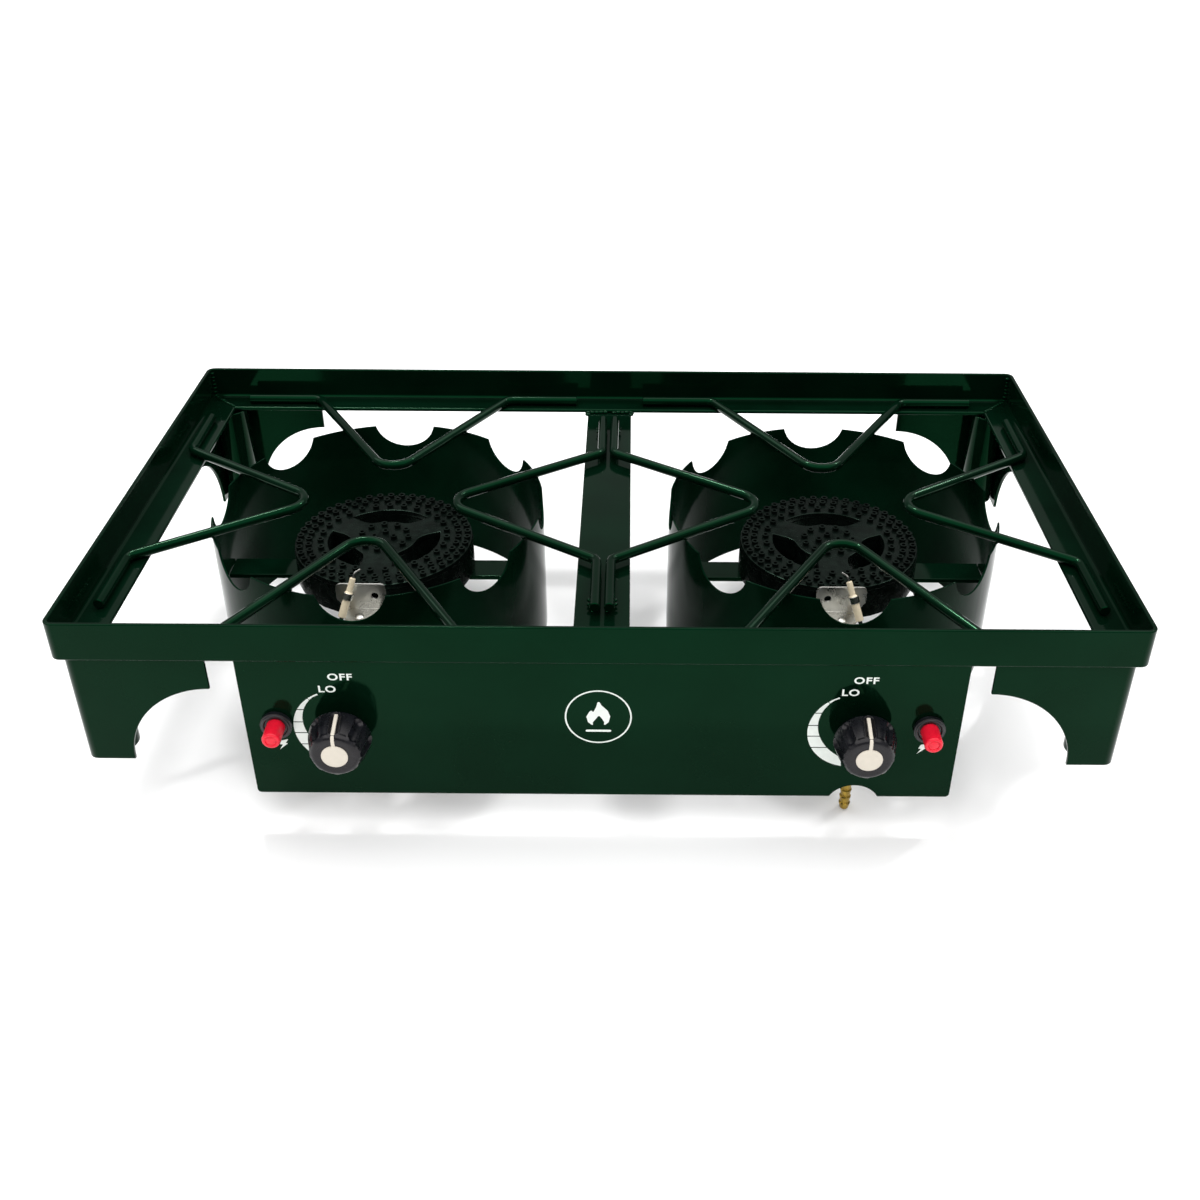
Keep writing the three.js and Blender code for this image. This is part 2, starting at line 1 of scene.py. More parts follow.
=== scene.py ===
"""A camping stove with two gas burners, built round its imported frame.

Every length is in metres unless its name or its property's unit says otherwise. +X is to the
right seen from the front, +Y to the back and +Z up. Places come from the boxes of the CAD nodes.
"""

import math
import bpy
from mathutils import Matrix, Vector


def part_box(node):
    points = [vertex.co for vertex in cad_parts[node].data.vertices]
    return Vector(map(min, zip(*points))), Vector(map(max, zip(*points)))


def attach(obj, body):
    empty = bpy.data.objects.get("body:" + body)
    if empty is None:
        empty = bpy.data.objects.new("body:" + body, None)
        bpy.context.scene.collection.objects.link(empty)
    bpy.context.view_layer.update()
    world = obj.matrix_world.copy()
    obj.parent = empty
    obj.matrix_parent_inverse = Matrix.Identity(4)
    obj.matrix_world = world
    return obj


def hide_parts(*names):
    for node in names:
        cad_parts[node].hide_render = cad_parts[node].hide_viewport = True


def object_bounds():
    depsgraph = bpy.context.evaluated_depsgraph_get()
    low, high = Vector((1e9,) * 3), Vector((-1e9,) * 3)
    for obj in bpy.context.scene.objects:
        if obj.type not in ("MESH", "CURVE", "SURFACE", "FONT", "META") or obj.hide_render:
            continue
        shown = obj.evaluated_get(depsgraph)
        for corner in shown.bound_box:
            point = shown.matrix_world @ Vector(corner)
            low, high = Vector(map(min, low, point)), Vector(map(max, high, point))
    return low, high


bl_info = {
    "name": "Camping Stove",
    "version": (1, 0, 0),
    "blender": (4, 5, 0),
    "location": "3D View > Sidebar > Stove",
    "description": "Builds an enamelled camping stove piece by piece round its CAD frame",
    "category": "Add Mesh",
}

import bmesh
import bpy
from bpy.props import FloatProperty, FloatVectorProperty, IntProperty, PointerProperty
from mathutils import Matrix, Vector

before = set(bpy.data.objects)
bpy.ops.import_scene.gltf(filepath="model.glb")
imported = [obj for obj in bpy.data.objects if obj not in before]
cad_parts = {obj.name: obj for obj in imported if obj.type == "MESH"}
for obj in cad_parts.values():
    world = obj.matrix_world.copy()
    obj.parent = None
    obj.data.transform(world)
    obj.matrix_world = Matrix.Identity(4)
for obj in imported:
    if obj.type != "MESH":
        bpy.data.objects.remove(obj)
CAD_BOX = [list(corner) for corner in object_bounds()]

MM = 0.001
SIDES = {"left": -1, "right": 1}
CORNERS = {
    "front_left": (-1, -1),
    "front_right": (1, -1),
    "back_left": (-1, 1),
    "back_right": (1, 1),
}
ALONG_Y = Matrix.Rotation(math.radians(90), 4, "X")  # turns +Z to the front, and +Y to +Z
NEAR = 1e-6  # points closer than this are one point
FINISHES = {}  # every material by its short name, filled by main()


# ------------------------------------------------------------------ colours


def linear(code):
    """A colour written as sRGB hex, such as 1a3526, as linear red, green and blue."""
    parts = [int(code[i : i + 2], 16) / 255 for i in (0, 2, 4)]
    return tuple(c / 12.92 if c <= 0.04045 else ((c + 0.055) / 1.055) ** 2.4 for c in parts)


def colour(label, code, about):
    """A colour property whose default is an sRGB hex value."""
    return FloatVectorProperty(
        name=label, description=about, subtype="COLOR", size=3, min=0, max=1, default=linear(code)
    )


def length(label, mm, about, low=0.01, high=1000):
    """A length property in millimetres."""
    return FloatProperty(name=label, description=about + ", in mm", default=mm, min=low, max=high)


# ------------------------------------------------------------------ what a user can change


class StoveColours(bpy.types.PropertyGroup):
    enamel: colour("Enamel", "0a3320", "Gloss enamel on the frame, panel and windshields")
    iron: colour("Burner iron", "0e1512", "Painted cast iron of the burners")
    knob: colour("Knob", "101116", "Moulded phenolic of the knobs")
    cream: colour("Pointer", "efe6d6", "Cream plastic of the knob caps")
    red: colour("Igniter button", "f01733", "Red plastic of the igniter buttons")
    ink: colour("Print", "e9efe9", "Ink of the dials")
    ceramic: colour("Electrode", "f2e3c4", "Glazed ceramic of the electrodes")
    brass: colour("Brass", "b99a45", "Turned brass of the gas fittings")
    zinc: colour("Zinc plate", "c9c8c2", "Bright plating of the small steel parts")


class StoveFrameSizes(bpy.types.PropertyGroup):
    wall: length("Wall", 3.0, "Thickness of the angle iron")
    corner: length("Corner", 7.0, "Outer radius of the frame's corners")
    flange: length("Shelf", 28.0, "Depth of the angle iron's lower leg")
    edge: length("Edge", 0.8, "Rounding of the rolled edges")
    root: length("Root", 2.6, "Fillet between the two legs of the angle iron")
    bead: length("Weld bead", 3.0, "Radius of a weld bead")


class StoveRodSizes(bpy.types.PropertyGroup):
    radius: length("Rod radius", 4.0, "Radius of the round bar")
    tip: length("Tip", 62.0, "From the middle of the cooking place to the bend")
    arm_spread: length("Spread", 87.0, "Half the distance between the two feet of a V")
    reach: length("Foot end", 152.0, "Half the distance between the two ends of a rod")
    tip_bend: length("Tip bend", 18.0, "Radius of the bend at the tip")
    foot_bend: length("Foot bend", 10.0, "Radius of the bends at the feet")


class StoveShieldSizes(bpy.types.PropertyGroup):
    wall: length("Wall", 1.5, "Sheet thickness")
    notches: IntProperty(name="Notches", description="Scallops round the rim", default=8, min=1)
    notch_half: length("Notch", 26.0, "Half the width of a scallop")
    notch_depth: length("Depth", 20.6, "Depth of a scallop")
    arch_half: length("Arch", 27.0, "Half the width of the arch for the mixing tube")
    arch_top: length("Arch top", 44.6, "From the rim down to the top of the arch")


class StoveBurnerSizes(bpy.types.PropertyGroup):
    ring_inner: length("Ring", 46.0, "Inner radius of the burner's ring")
    hub: length("Hub", 27.0, "Radius of the burner's hub")
    arm_half: length("Arm", 12.0, "Half the width of an arm")
    nipple: length("Nipple", 2.9, "Outer radius of a flame nipple at its foot")
    nipple_hole: length("Nipple bore", 1.5, "Radius of the hole in a nipple")
    nipple_height: length("Nipple height", 2.8, "How far a nipple stands up")


class StoveKnobSizes(bpy.types.PropertyGroup):
    pockets: IntProperty(name="Grips", description="Pockets round the knob", default=8, min=3)
    pocket_half: length("Grip", 3.4, "Half the width of a grip pocket")
    pocket_depth: length("Grip depth", 2.1, "Depth of a grip pocket")
    face: length("Face", 16.2, "Radius of the side where it meets the face")
    crown: length("Crown", 4.2, "Rounding between the side and the face")


# ------------------------------------------------------------------ meshes


def mesh_of(verts, faces):
    """A bmesh from plain lists, merged, with its faces pointing outwards."""
    bm = bmesh.new()
    made = [bm.verts.new(v) for v in verts]
    for face in faces:
        corners = [made[i] for i in face]
        if len(set(corners)) > 2:
            bm.faces.new(corners)
    return tidy(bm)


def tidy(bm):
    """Merges what lies together, drops empty faces and points the rest outwards."""
    bmesh.ops.remove_doubles(bm, verts=bm.verts, dist=NEAR)
    bmesh.ops.dissolve_degenerate(bm, edges=bm.edges, dist=NEAR)
    bmesh.ops.recalc_face_normals(bm, faces=bm.faces)
    return bm


def moved(bm, matrix):
    """The same bmesh, transformed."""
    bmesh.ops.transform(bm, matrix=matrix, verts=bm.verts)
    return bm


def shifted(bm, x=0, y=0, z=0):
    """The same bmesh, moved along the axes."""
    return moved(bm, Matrix.Translation((x, y, z)))


def together(*parts):
    """Several bmeshes as one."""
    whole = bmesh.new()
    for part in parts:
        mesh = bpy.data.meshes.new("part")
        part.to_mesh(mesh)
        part.free()
        whole.from_mesh(mesh)
        bpy.data.meshes.remove(mesh)
    return whole


def softened(bm, width, segments=2):
    """Rounds every edge sharper than 30 degrees."""
    sharp = [edge for edge in bm.edges
             if len(edge.link_faces) == 2 and edge.calc_face_angle(0) > math.radians(30)]
    bmesh.ops.bevel(bm, geom=sharp, offset=width, segments=segments, profile=0.5,
                    affect="EDGES", clamp_overlap=True)
    return tidy(bm)


def block(low, high, edge):
    """A box between two corners, with rounded edges."""
    bm = bmesh.new()
    bmesh.ops.create_cube(bm, size=1)
    low, high = Vector(low), Vector(high)
    size = high - low
    moved(bm, Matrix.Translation((low + high) / 2) @ Matrix.Diagonal((*size, 1)))
    return softened(bm, edge)


def arc(centre, radius, start, end, steps):
    """Points on an arc, angles in degrees."""
    angles = [math.radians(start + (end - start) * i / steps) for i in range(steps + 1)]
    return [(centre[0] + radius * math.cos(a), centre[1] + radius * math.sin(a)) for a in angles]


def filleted(points, radii, steps=4, closed=True):
    """An outline whose corners are rounded, each to its own radius."""
    count = len(points)
    out = []
    for i, point in enumerate(points):
        radius = radii[i] if hasattr(radii, "__len__") else radii
        ends = not closed and i in (0, count - 1)
        here = Vector(point)
        before = Vector(points[i - 1]) - here
        after = Vector(points[(i + 1) % count]) - here
        if ends or radius <= 0 or before.length < 1e-9 or after.length < 1e-9:
            out.append(tuple(here))
            continue
        half = before.angle(after) / 2
        if half > math.radians(89):
            out.append(tuple(here))
            continue
        reach = min(radius / math.tan(half), before.length * 0.49, after.length * 0.49)
        start, end = here + before.normalized() * reach, here + after.normalized() * reach
        turn_radius = reach * math.tan(half)
        middle = here + (before.normalized() + after.normalized()).normalized() * (
            turn_radius / math.sin(half)
        )
        for k in range(steps + 1):
            spoke = (start - middle).lerp(end - middle, k / steps).normalized()
            out.append(tuple(middle + spoke * turn_radius))
    return out


def stitched(count, ring, closed=False, first=True, last=True):
    """Faces joining count rings of ring points. An open run gets a first and a last cap."""
    faces = []
    for i in range(count if closed else count - 1):
        here, there = i * ring, (i + 1) % count * ring
        for k in range(ring):
            j = (k + 1) % ring
            faces.append((here + k, here + j, there + j, there + k))
    if first and not closed:
        faces.append(tuple(range(ring))[::-1])
    if last and not closed:
        faces.append(tuple(range((count - 1) * ring, count * ring)))
    return faces


def lathe(profile, segments=48, closed=False):
    """Turns a profile of (radius, height) about +Z. A closed profile makes a ring."""
    verts = []
    for radius, height in profile:
        for i in range(segments):
            angle = 2 * math.pi * i / segments
            verts.append((radius * math.cos(angle), radius * math.sin(angle), height))
    return mesh_of(verts, stitched(len(profile), segments, closed, profile[0][0] > 0,
                                   profile[-1][0] > 0))


def bent_path(corners, radii):
    """Points along straight runs whose corners are bent to a radius, one each 6 degrees."""
    points = [Vector(corners[0])]
    for i, radius in enumerate(radii, start=1):
        here = Vector(corners[i])
        back = (Vector(corners[i - 1]) - here).normalized()
        ahead = (Vector(corners[i + 1]) - here).normalized()
        half = back.angle(ahead) / 2
        centre = here + (back + ahead).normalized() * (radius / math.sin(half))
        start = here + back * (radius / math.tan(half))
        end = here + ahead * (radius / math.tan(half))
        turn = math.pi - 2 * half
        steps = max(2, round(math.degrees(turn) / 6))
        axis = (start - centre).cross(end - centre).normalized()
        for k in range(steps + 1):
            spoke = Matrix.Rotation(turn * k / steps, 3, axis) @ (start - centre)
            points.append(centre + spoke)
    points.append(Vector(corners[-1]))
    return points


def sweep(points, radius, sides=20):
    """A round bar along points, with slightly rounded ends."""
    points = [Vector(p) for p in points]
    cut = radius * 0.15
    first = (points[1] - points[0]).normalized()
    last = (points[-1] - points[-2]).normalized()
    run = [(points[0], radius - cut), (points[0] + first * cut, radius)]
    run += [(p, radius) for p in points[1:-1]]
    run += [(points[-1] - last * cut, radius), (points[-1], radius - cut)]
    normal = first.orthogonal().normalized()
    verts = []
    for i, (point, size) in enumerate(run):
        before = run[max(i - 1, 0)][0]
        after = run[min(i + 1, len(run) - 1)][0]
        tangent = (after - before).normalized()
        normal = (normal - tangent * normal.dot(tangent)).normalized()
        side = tangent.cross(normal)
        for k in range(sides):
            angle = 2 * math.pi * k / sides
            verts.append(point + (normal * math.cos(angle) + side * math.sin(angle)) * size)
    return mesh_of(verts, stitched(len(run), sides))


def sheet_wall(plan, wall, edge, closed):
    """A standing sheet of even thickness whose top and bottom edges follow the plan."""
    verts = []
    for point, normal, bottom, top in plan:
        outer, inner = point + normal * wall / 2, point - normal * wall / 2
        outer_rim, inner_rim = outer - normal * edge, inner + normal * edge
        verts += [
            (*outer_rim, bottom), (*outer, bottom + edge), (*outer, top - edge), (*outer_rim, top),
            (*inner_rim, top), (*inner, top - edge), (*inner, bottom + edge), (*inner_rim, bottom),
        ]
    return mesh_of(verts, stitched(len(plan), len(verts) // len(plan), closed))


def curve_mesh(curve):
    """The shape of a curve as a bmesh. The curve itself is removed."""
    holder = bpy.data.objects.new("outline", curve)
    bpy.context.scene.collection.objects.link(holder)
    bpy.context.view_layer.update()
    bm = bmesh.new()
    bm.from_mesh(holder.evaluated_get(bpy.context.evaluated_depsgraph_get()).to_mesh())
    bpy.data.objects.remove(holder)
    bpy.data.curves.remove(curve)
    return bm


def flat_sheet(outlines, thickness, edge):
    """A plate with holes, lying on Z = 0 and rising to its thickness, with rounded edges."""
    curve = bpy.data.curves.new("outline", "CURVE")
    curve.dimensions = "2D"
    curve.fill_mode = "BOTH"
    curve.extrude = thickness / 2 - edge
    curve.bevel_depth = edge
    curve.bevel_resolution = 1
    curve.offset = -edge
    for outline in outlines:
        line = curve.splines.new("POLY")
        line.points.add(len(outline) - 1)
        for point, (x, y) in zip(line.points, outline):
            point.co = (x, y, 0, 1)
        line.use_cyclic_u = True
    return shifted(tidy(curve_mesh(curve)), z=thickness / 2)


def circle(x, y, radius, steps=48):
    """An outline of steps points."""
    return arc((x, y), radius, 0, 360 * (1 - 1 / steps), steps - 1)


def span(node):
    """The box of a CAD node as two vectors."""
    low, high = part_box(node)
    return Vector(low), Vector(high)


def middle_of(node):
    """The middle of a CAD node's box."""
    low, high = span(node)
    return (low + high) / 2


def frontwards(x, y, z):
    """Turns a shape made about +Z to face the front, and puts its origin at a place."""
    return Matrix.Translation((x, y, z)) @ ALONG_Y


def copy_of(node, edge=0.0):
    """A merged copy of a CAD node's mesh, with rounded edges if edge is given."""
    bm = bmesh.new()
    bm.from_mesh(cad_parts[node].data)
    bmesh.ops.remove_doubles(bm, verts=bm.verts, dist=NEAR)
    bmesh.ops.dissolve_limit(bm, angle_limit=math.radians(1), verts=bm.verts, edges=bm.edges)
    return softened(bm, edge, 1) if edge else bm


def shade(bm, mesh, sharp):
    """Writes a bmesh to a mesh, smooth but for edges of sharp degrees or more."""
    for face in bm.faces:
        face.smooth = True
    for edge in bm.edges:
        if len(edge.link_faces) == 2:
            edge.smooth = edge.calc_face_angle(0) < math.radians(sharp)
    bm.to_mesh(mesh)
    bm.free()


def piece(name, bm, body, finish_name, replaces=(), sharp=40):
    """Turns a finished shape into a piece that rides on its body."""
    mesh = bpy.data.meshes.new(name)
    shade(bm, mesh, sharp)
    mesh.materials.clear()
    mesh.materials.append(FINISHES[finish_name])
    obj = bpy.data.objects.new(name, mesh)
    bpy.context.scene.collection.objects.link(obj)
    even = obj.modifiers.new("Even shading", "WEIGHTED_NORMAL")
    even.keep_sharp = True
    return settled(obj, body, replaces)


def copied(name, node, finish_name, sharp=40, edge=0.0, body="stove"):
    """A piece that is a CAD node's own shape, with its edges rounded if edge is given."""
    return piece(name, copy_of(node, edge), body, finish_name, [node], sharp)


def enamelled(name, bm, nodes, sharp=40):
    """A fixed piece in gloss enamel that stands for CAD nodes."""
    return piece(name, bm, "stove", "gloss_enamel", nodes, sharp)


def settled(obj, body, replaces=()):
    """Tells the frame which body an object rides on and the nodes it replaces."""
    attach(obj, body)
    if replaces:
        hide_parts(*replaces)
    return obj


# ------------------------------------------------------------------ Geometry Nodes


def add_node(tree, kind, inputs=None, **settings):
    """Adds a node with its settings, and gives each named input a value or a link."""
    made = tree.nodes.new(kind)
    for name, value in settings.items():
        setattr(made, name, value)
    for key, value in (inputs or {}).items():
        if isinstance(value, bpy.types.NodeSocket):
            tree.links.new(value, made.inputs[key])
        else:
            made.inputs[key].default_value = value
    return made


def new_tree(name, sizes):
    """A geometry tree with a geometry input, named float inputs and a geometry output."""
    tree = bpy.data.node_groups.new(name, "GeometryNodeTree")
    tree.interface.new_socket("Geometry", in_out="INPUT", socket_type="NodeSocketGeometry")
    for label, kind, value in sizes:
        socket = tree.interface.new_socket(label, in_out="INPUT", socket_type=kind)
        socket.default_value = value
    tree.interface.new_socket("Geometry", in_out="OUTPUT", socket_type="NodeSocketGeometry")
    return tree, add_node(tree, "NodeGroupInput"), add_node(tree, "NodeGroupOutput")


def painted_result(tree, geometry, material, out):
    """Ends a tree: makes its instances real, paints them and hands them out."""
    real = add_node(tree, "GeometryNodeRealizeInstances", {"Geometry": geometry})
    painted = add_node(tree, "GeometryNodeSetMaterial",
                       {"Geometry": real.outputs[0], "Material": material})
    tree.links.new(painted.outputs[0], out.inputs[0])
    return tree


def grown(name, mesh, tree, values, body, sharp=40):
    """Runs a tree on a mesh, keeps the result as a plain mesh and rides it on its body."""
    obj = bpy.data.objects.new(name, mesh)
    bpy.context.scene.collection.objects.link(obj)
    modifier = obj.modifiers.new("Grow", "NODES")
    modifier.node_group = tree
    for item in tree.interface.items_tree:
        if item.item_type == "SOCKET" and item.in_out == "INPUT" and item.name in values:
            modifier[item.identifier] = values[item.name]
    bpy.context.view_layer.update()
    ready = obj.evaluated_get(bpy.context.evaluated_depsgraph_get())
    result = bpy.data.meshes.new_from_object(ready)
    obj.modifiers.clear()
    obj.data = result
    result.name = name
    bpy.data.meshes.remove(mesh)
    bm = bmesh.new()
    bm.from_mesh(result)
    shade(bm, result, sharp)
    return settled(obj, body)


NIPPLE_ROWS = {  # radius of each row in mm, and its count
    "Outer": (69, 46), "Middle": (61.5, 41), "Inner": (52, 27), "Hub": (20, 11), "Core": (8, 4),
}


def nipple_tree(material):
    """Rows of hollow nipples on circles about the Z axis."""
    sockets = []
    for row, (radius, count) in NIPPLE_ROWS.items():
        sockets += [(f"{row} row", "NodeSocketFloat", radius * MM),
                    (f"{row} count", "NodeSocketInt", count)]
    sockets += [(label, "NodeSocketFloat", value * MM)
                for label, value in (("Foot radius", 2.9), ("Hole radius", 1.5), ("Height", 2.8))]
    sockets.append(("Position", "NodeSocketVector", (0, 0, 0)))
    tree, given, out = new_tree("Burner nipples", sockets)
    size = given.outputs

    def maths(operation, *values):
        """A node that works out one number."""
        return add_node(tree, "ShaderNodeMath", dict(enumerate(values)),
                        operation=operation).outputs[0]

    lip_share = 0.45  # how much of the wall is left at the top
    foot, hole = size["Foot radius"], size["Hole radius"]
    wall = maths("SUBTRACT", foot, hole)
    ring = add_node(tree, "GeometryNodeCurvePrimitiveCircle",
                    {"Resolution": 16, "Radius": maths("MULTIPLY", maths("ADD", foot, hole), 0.5)})
    section = add_node(tree, "GeometryNodeCurvePrimitiveQuadrilateral",
                       {"Bottom Width": wall, "Top Width": maths("MULTIPLY", wall, lip_share),
                        "Height": size["Height"], "Offset": 0.0}, mode="TRAPEZOID")
    nipple = add_node(tree, "GeometryNodeCurveToMesh",
                      {"Curve": ring.outputs["Curve"], "Profile Curve": section.outputs["Curve"]})
    join = add_node(tree, "GeometryNodeJoinGeometry")
    for row in NIPPLE_ROWS:
        points = add_node(tree, "GeometryNodeMeshCircle",
                          {"Vertices": size[f"{row} count"], "Radius": size[f"{row} row"]})
        placed = add_node(tree, "GeometryNodeInstanceOnPoints",
                          {"Points": points.outputs[0], "Instance": nipple.outputs[0]})
        tree.links.new(placed.outputs[0], join.inputs[0])
    shifted_rows = add_node(tree, "GeometryNodeTransform",
                            {"Geometry": join.outputs[0], "Translation": size["Position"]})
    return painted_result(tree, shifted_rows.outputs[0], material, out)


def bead_tree(material):
    """Overlapping weld beads along every line of a wire mesh."""
    tree, given, out = new_tree(
        "Weld beads",
        [
            ("Radius", "NodeSocketFloat", 3 * MM),
            ("Pitch", "NodeSocketFloat", 2.6 * MM),
            ("Seed", "NodeSocketInt", 3),
        ],
    )
    size = given.outputs
    lines = add_node(tree, "GeometryNodeMeshToCurve", {"Mesh": size["Geometry"]})
    points = add_node(tree, "GeometryNodeResampleCurve",
                      {"Curve": lines.outputs[0], "Length": size["Pitch"]}, mode="LENGTH")
    bead = add_node(tree, "GeometryNodeMeshIcoSphere",
                    {"Radius": size["Radius"], "Subdivisions": 2})
    uneven = add_node(tree, "FunctionNodeRandomValue",
                      {"Min": (0.75, 0.75, 0.45), "Max": (1.15, 1.1, 0.7), "Seed": size["Seed"]},
                      data_type="FLOAT_VECTOR")
    turn = add_node(tree, "FunctionNodeRandomValue",
                    {"Min": (0, 0, -0.8), "Max": (0, 0, 0.8), "Seed": size["Seed"]},
                    data_type="FLOAT_VECTOR")
    placed = add_node(tree, "GeometryNodeInstanceOnPoints",
                      {"Points": points.outputs[0], "Instance": bead.outputs["Mesh"],
                       "Rotation": turn.outputs[0], "Scale": uneven.outputs[0]})
    return painted_result(tree, placed.outputs[0], material, out)


# ------------------------------------------------------------------ finishes


def finish(name, deep, light, patch, rough, grain=None, shader=None, stretch=(1, 1, 1)):
    """A surface with uneven colour and gloss, and a fine relief.

    patch is the size of a colour patch in mm, rough its (least, most) roughness, and grain the
    (spacing in mm, height in mm) of the relief. shader holds what is the same all over.
    """
    material = bpy.data.materials.new(name)
    material.use_nodes = True
    tree = material.node_tree
    bsdf = tree.nodes["Principled BSDF"]
    place = add_node(tree, "ShaderNodeTexCoord").outputs["Object"]
    patches = add_node(tree, "ShaderNodeTexNoise",
                       {"Vector": place, "Scale": 1 / (patch * MM), "Detail": 4.0})
    tone = add_node(tree, "ShaderNodeValToRGB", {"Fac": patches.outputs["Fac"]})
    tone.color_ramp.elements[0].position, tone.color_ramp.elements[1].position = 0.35, 0.65
    tone.color_ramp.elements[0].color = (*deep, 1)
    tone.color_ramp.elements[1].color = (*light, 1)
    tree.links.new(tone.outputs["Color"], bsdf.inputs["Base Color"])
    gloss = add_node(tree, "ShaderNodeMapRange",
                     {"Value": patches.outputs["Fac"], "From Min": 0.3, "From Max": 0.7,
                      "To Min": rough[0], "To Max": rough[1]})
    tree.links.new(gloss.outputs["Result"], bsdf.inputs["Roughness"])
    if grain:
        spacing, height = grain
        along = add_node(tree, "ShaderNodeMapping", {"Vector": place, "Scale": stretch})
        relief = add_node(tree, "ShaderNodeTexNoise",
                          {"Vector": along.outputs[0], "Scale": 1 / (spacing * MM), "Detail": 2.0})
        bump = add_node(tree, "ShaderNodeBump",
                        {"Height": relief.outputs["Fac"], "Strength": 1.0,
                         "Distance": height * MM})
        tree.links.new(bump.outputs["Normal"], bsdf.inputs["Normal"])
    for socket, value in (shader or {}).items():
        bsdf.inputs[socket].default_value = value
    return material


def toned(base, factor):
    """A colour made lighter or darker."""
    return tuple(min(1.0, c * factor) for c in base)


def make_finishes(c):
    """Every finish of the stove, by name. c holds the stove's colours."""
    green = (0.04, 0.58, 0.2, 1)
    return {
        # Stoved gloss enamel over steel: deep, nearly black, with green-tinted reflections and a
        # faint orange peel.
        "gloss_enamel": finish(
            "stoved_gloss_enamel", toned(c.enamel, 0.16), toned(c.enamel, 0.25), 60, (0.06, 0.12),
            (6, 0.012), {"Specular Tint": green, "Specular IOR Level": 0.21}),
        # The same enamel on the windshields, painted lighter and greener and with little gloss: the
        # lighter green is painted reflection of the bright ground.
        "reflection_painted_enamel": finish(
            "reflection_painted_enamel", toned(c.enamel, 0.2), toned(c.enamel, 0.4), 60, (0.07, 0.14),
            (6, 0.012), {"Specular Tint": green, "Specular IOR Level": 0.03}),
        # The same enamel brushed thickly over castings, so the sand grain still shows.
        "enamelled_cast_iron": finish(
            "enamelled_cast_iron", toned(c.iron, 0.25), toned(c.iron, 0.5), 8, (0.18, 0.32),
            (1.1, 0.02), {"Specular Tint": (0.3, 0.8, 0.5, 1), "Specular IOR Level": 0.14}),
        # Bright zinc plate on pressed steel, faintly cloudy.
        "zinc_plate": finish(
            "bright_zinc_plate", toned(c.zinc, 1.0), toned(c.zinc, 1.12), 12, (0.24, 0.32),
            (0.5, 0.002), {"Metallic": 1.0}, (1, 0.2, 1)),
        # Free-turned brass, dulled in patches by handling.
        "turned_brass": finish(
            "turned_brass", toned(c.brass, 0.7), c.brass, 4, (0.2, 0.36), (0.4, 0.006),
            {"Metallic": 1.0}, (1, 1, 6)),
        # Drawn steel pipe with a grey film.
        "drawn_steel": finish(
            "drawn_steel", toned(c.zinc, 0.35), toned(c.zinc, 0.55), 9, (0.3, 0.5), (0.6, 0.006),
            {"Metallic": 1.0}, (0.1, 1, 1)),
        # Moulded phenolic: black with a soft sheen where the light strikes it.
        "moulded_phenolic": finish(
            "moulded_phenolic", toned(c.knob, 0.6), toned(c.knob, 1.1), 6, (0.22, 0.32),
            (0.9, 0.008), {"Specular Tint": (0.96, 0.92, 0.92, 1), "Specular IOR Level": 0.32}),
        # Cream urea plastic, smooth and a little waxy.
        "cream_urea": finish(
            "cream_urea_plastic", toned(c.cream, 0.76), toned(c.cream, 0.8), 5, (0.38, 0.48),
            (0.8, 0.006)),
        # Injection-moulded red plastic.
        "red_abs": finish(
            "red_abs_plastic", toned(c.red, 0.85), c.red, 4, (0.28, 0.4), (0.7, 0.008),
            {"Specular IOR Level": 0.4}),
        # Black threaded nylon of the igniter's bushing.
        "black_nylon": finish(
            "black_nylon", toned(c.knob, 0.5), toned(c.knob, 1.1), 5, (0.35, 0.5), (0.6, 0.01)),
        # Glazed steatite, ivory and glossy.
        "glazed_steatite": finish(
            "glazed_steatite", toned(c.ceramic, 0.9), c.ceramic, 4, (0.15, 0.28), (0.9, 0.006),
            {"Coat Weight": 0.3}),
        # Screen-printed ink, flat and slightly chalky.
        "screen_ink": finish(
            "screen_printed_ink", toned(c.ink, 0.93), c.ink, 6, (0.45, 0.6), (0.5, 0.003)),
        # Silicone sleeve of the ignition lead.
        "silicone_sleeve": finish(
            "silicone_sleeve", toned(c.knob, 0.6), toned(c.knob, 1.2), 6, (0.5, 0.65), (0.5, 0.01)),
    }


# ------------------------------------------------------------------ frame and corners


def weld(name, lines, radius, pitch, seed, tree):
    """One piece of weld beads along lines, each a list of points; a very short line is a tack."""
    mesh = bpy.data.meshes.new(name)
    verts, edges = [], []
    for line in lines:
        start = len(verts)
        verts += [tuple(p) for p in line]
        edges += [(start + i, start + i + 1) for i in range(len(line) - 1)]
    mesh.from_pydata(verts, edges, [])
    return grown(name, mesh, tree, {"Radius": radius, "Pitch": pitch, "Seed": seed}, "stove",
                 180)


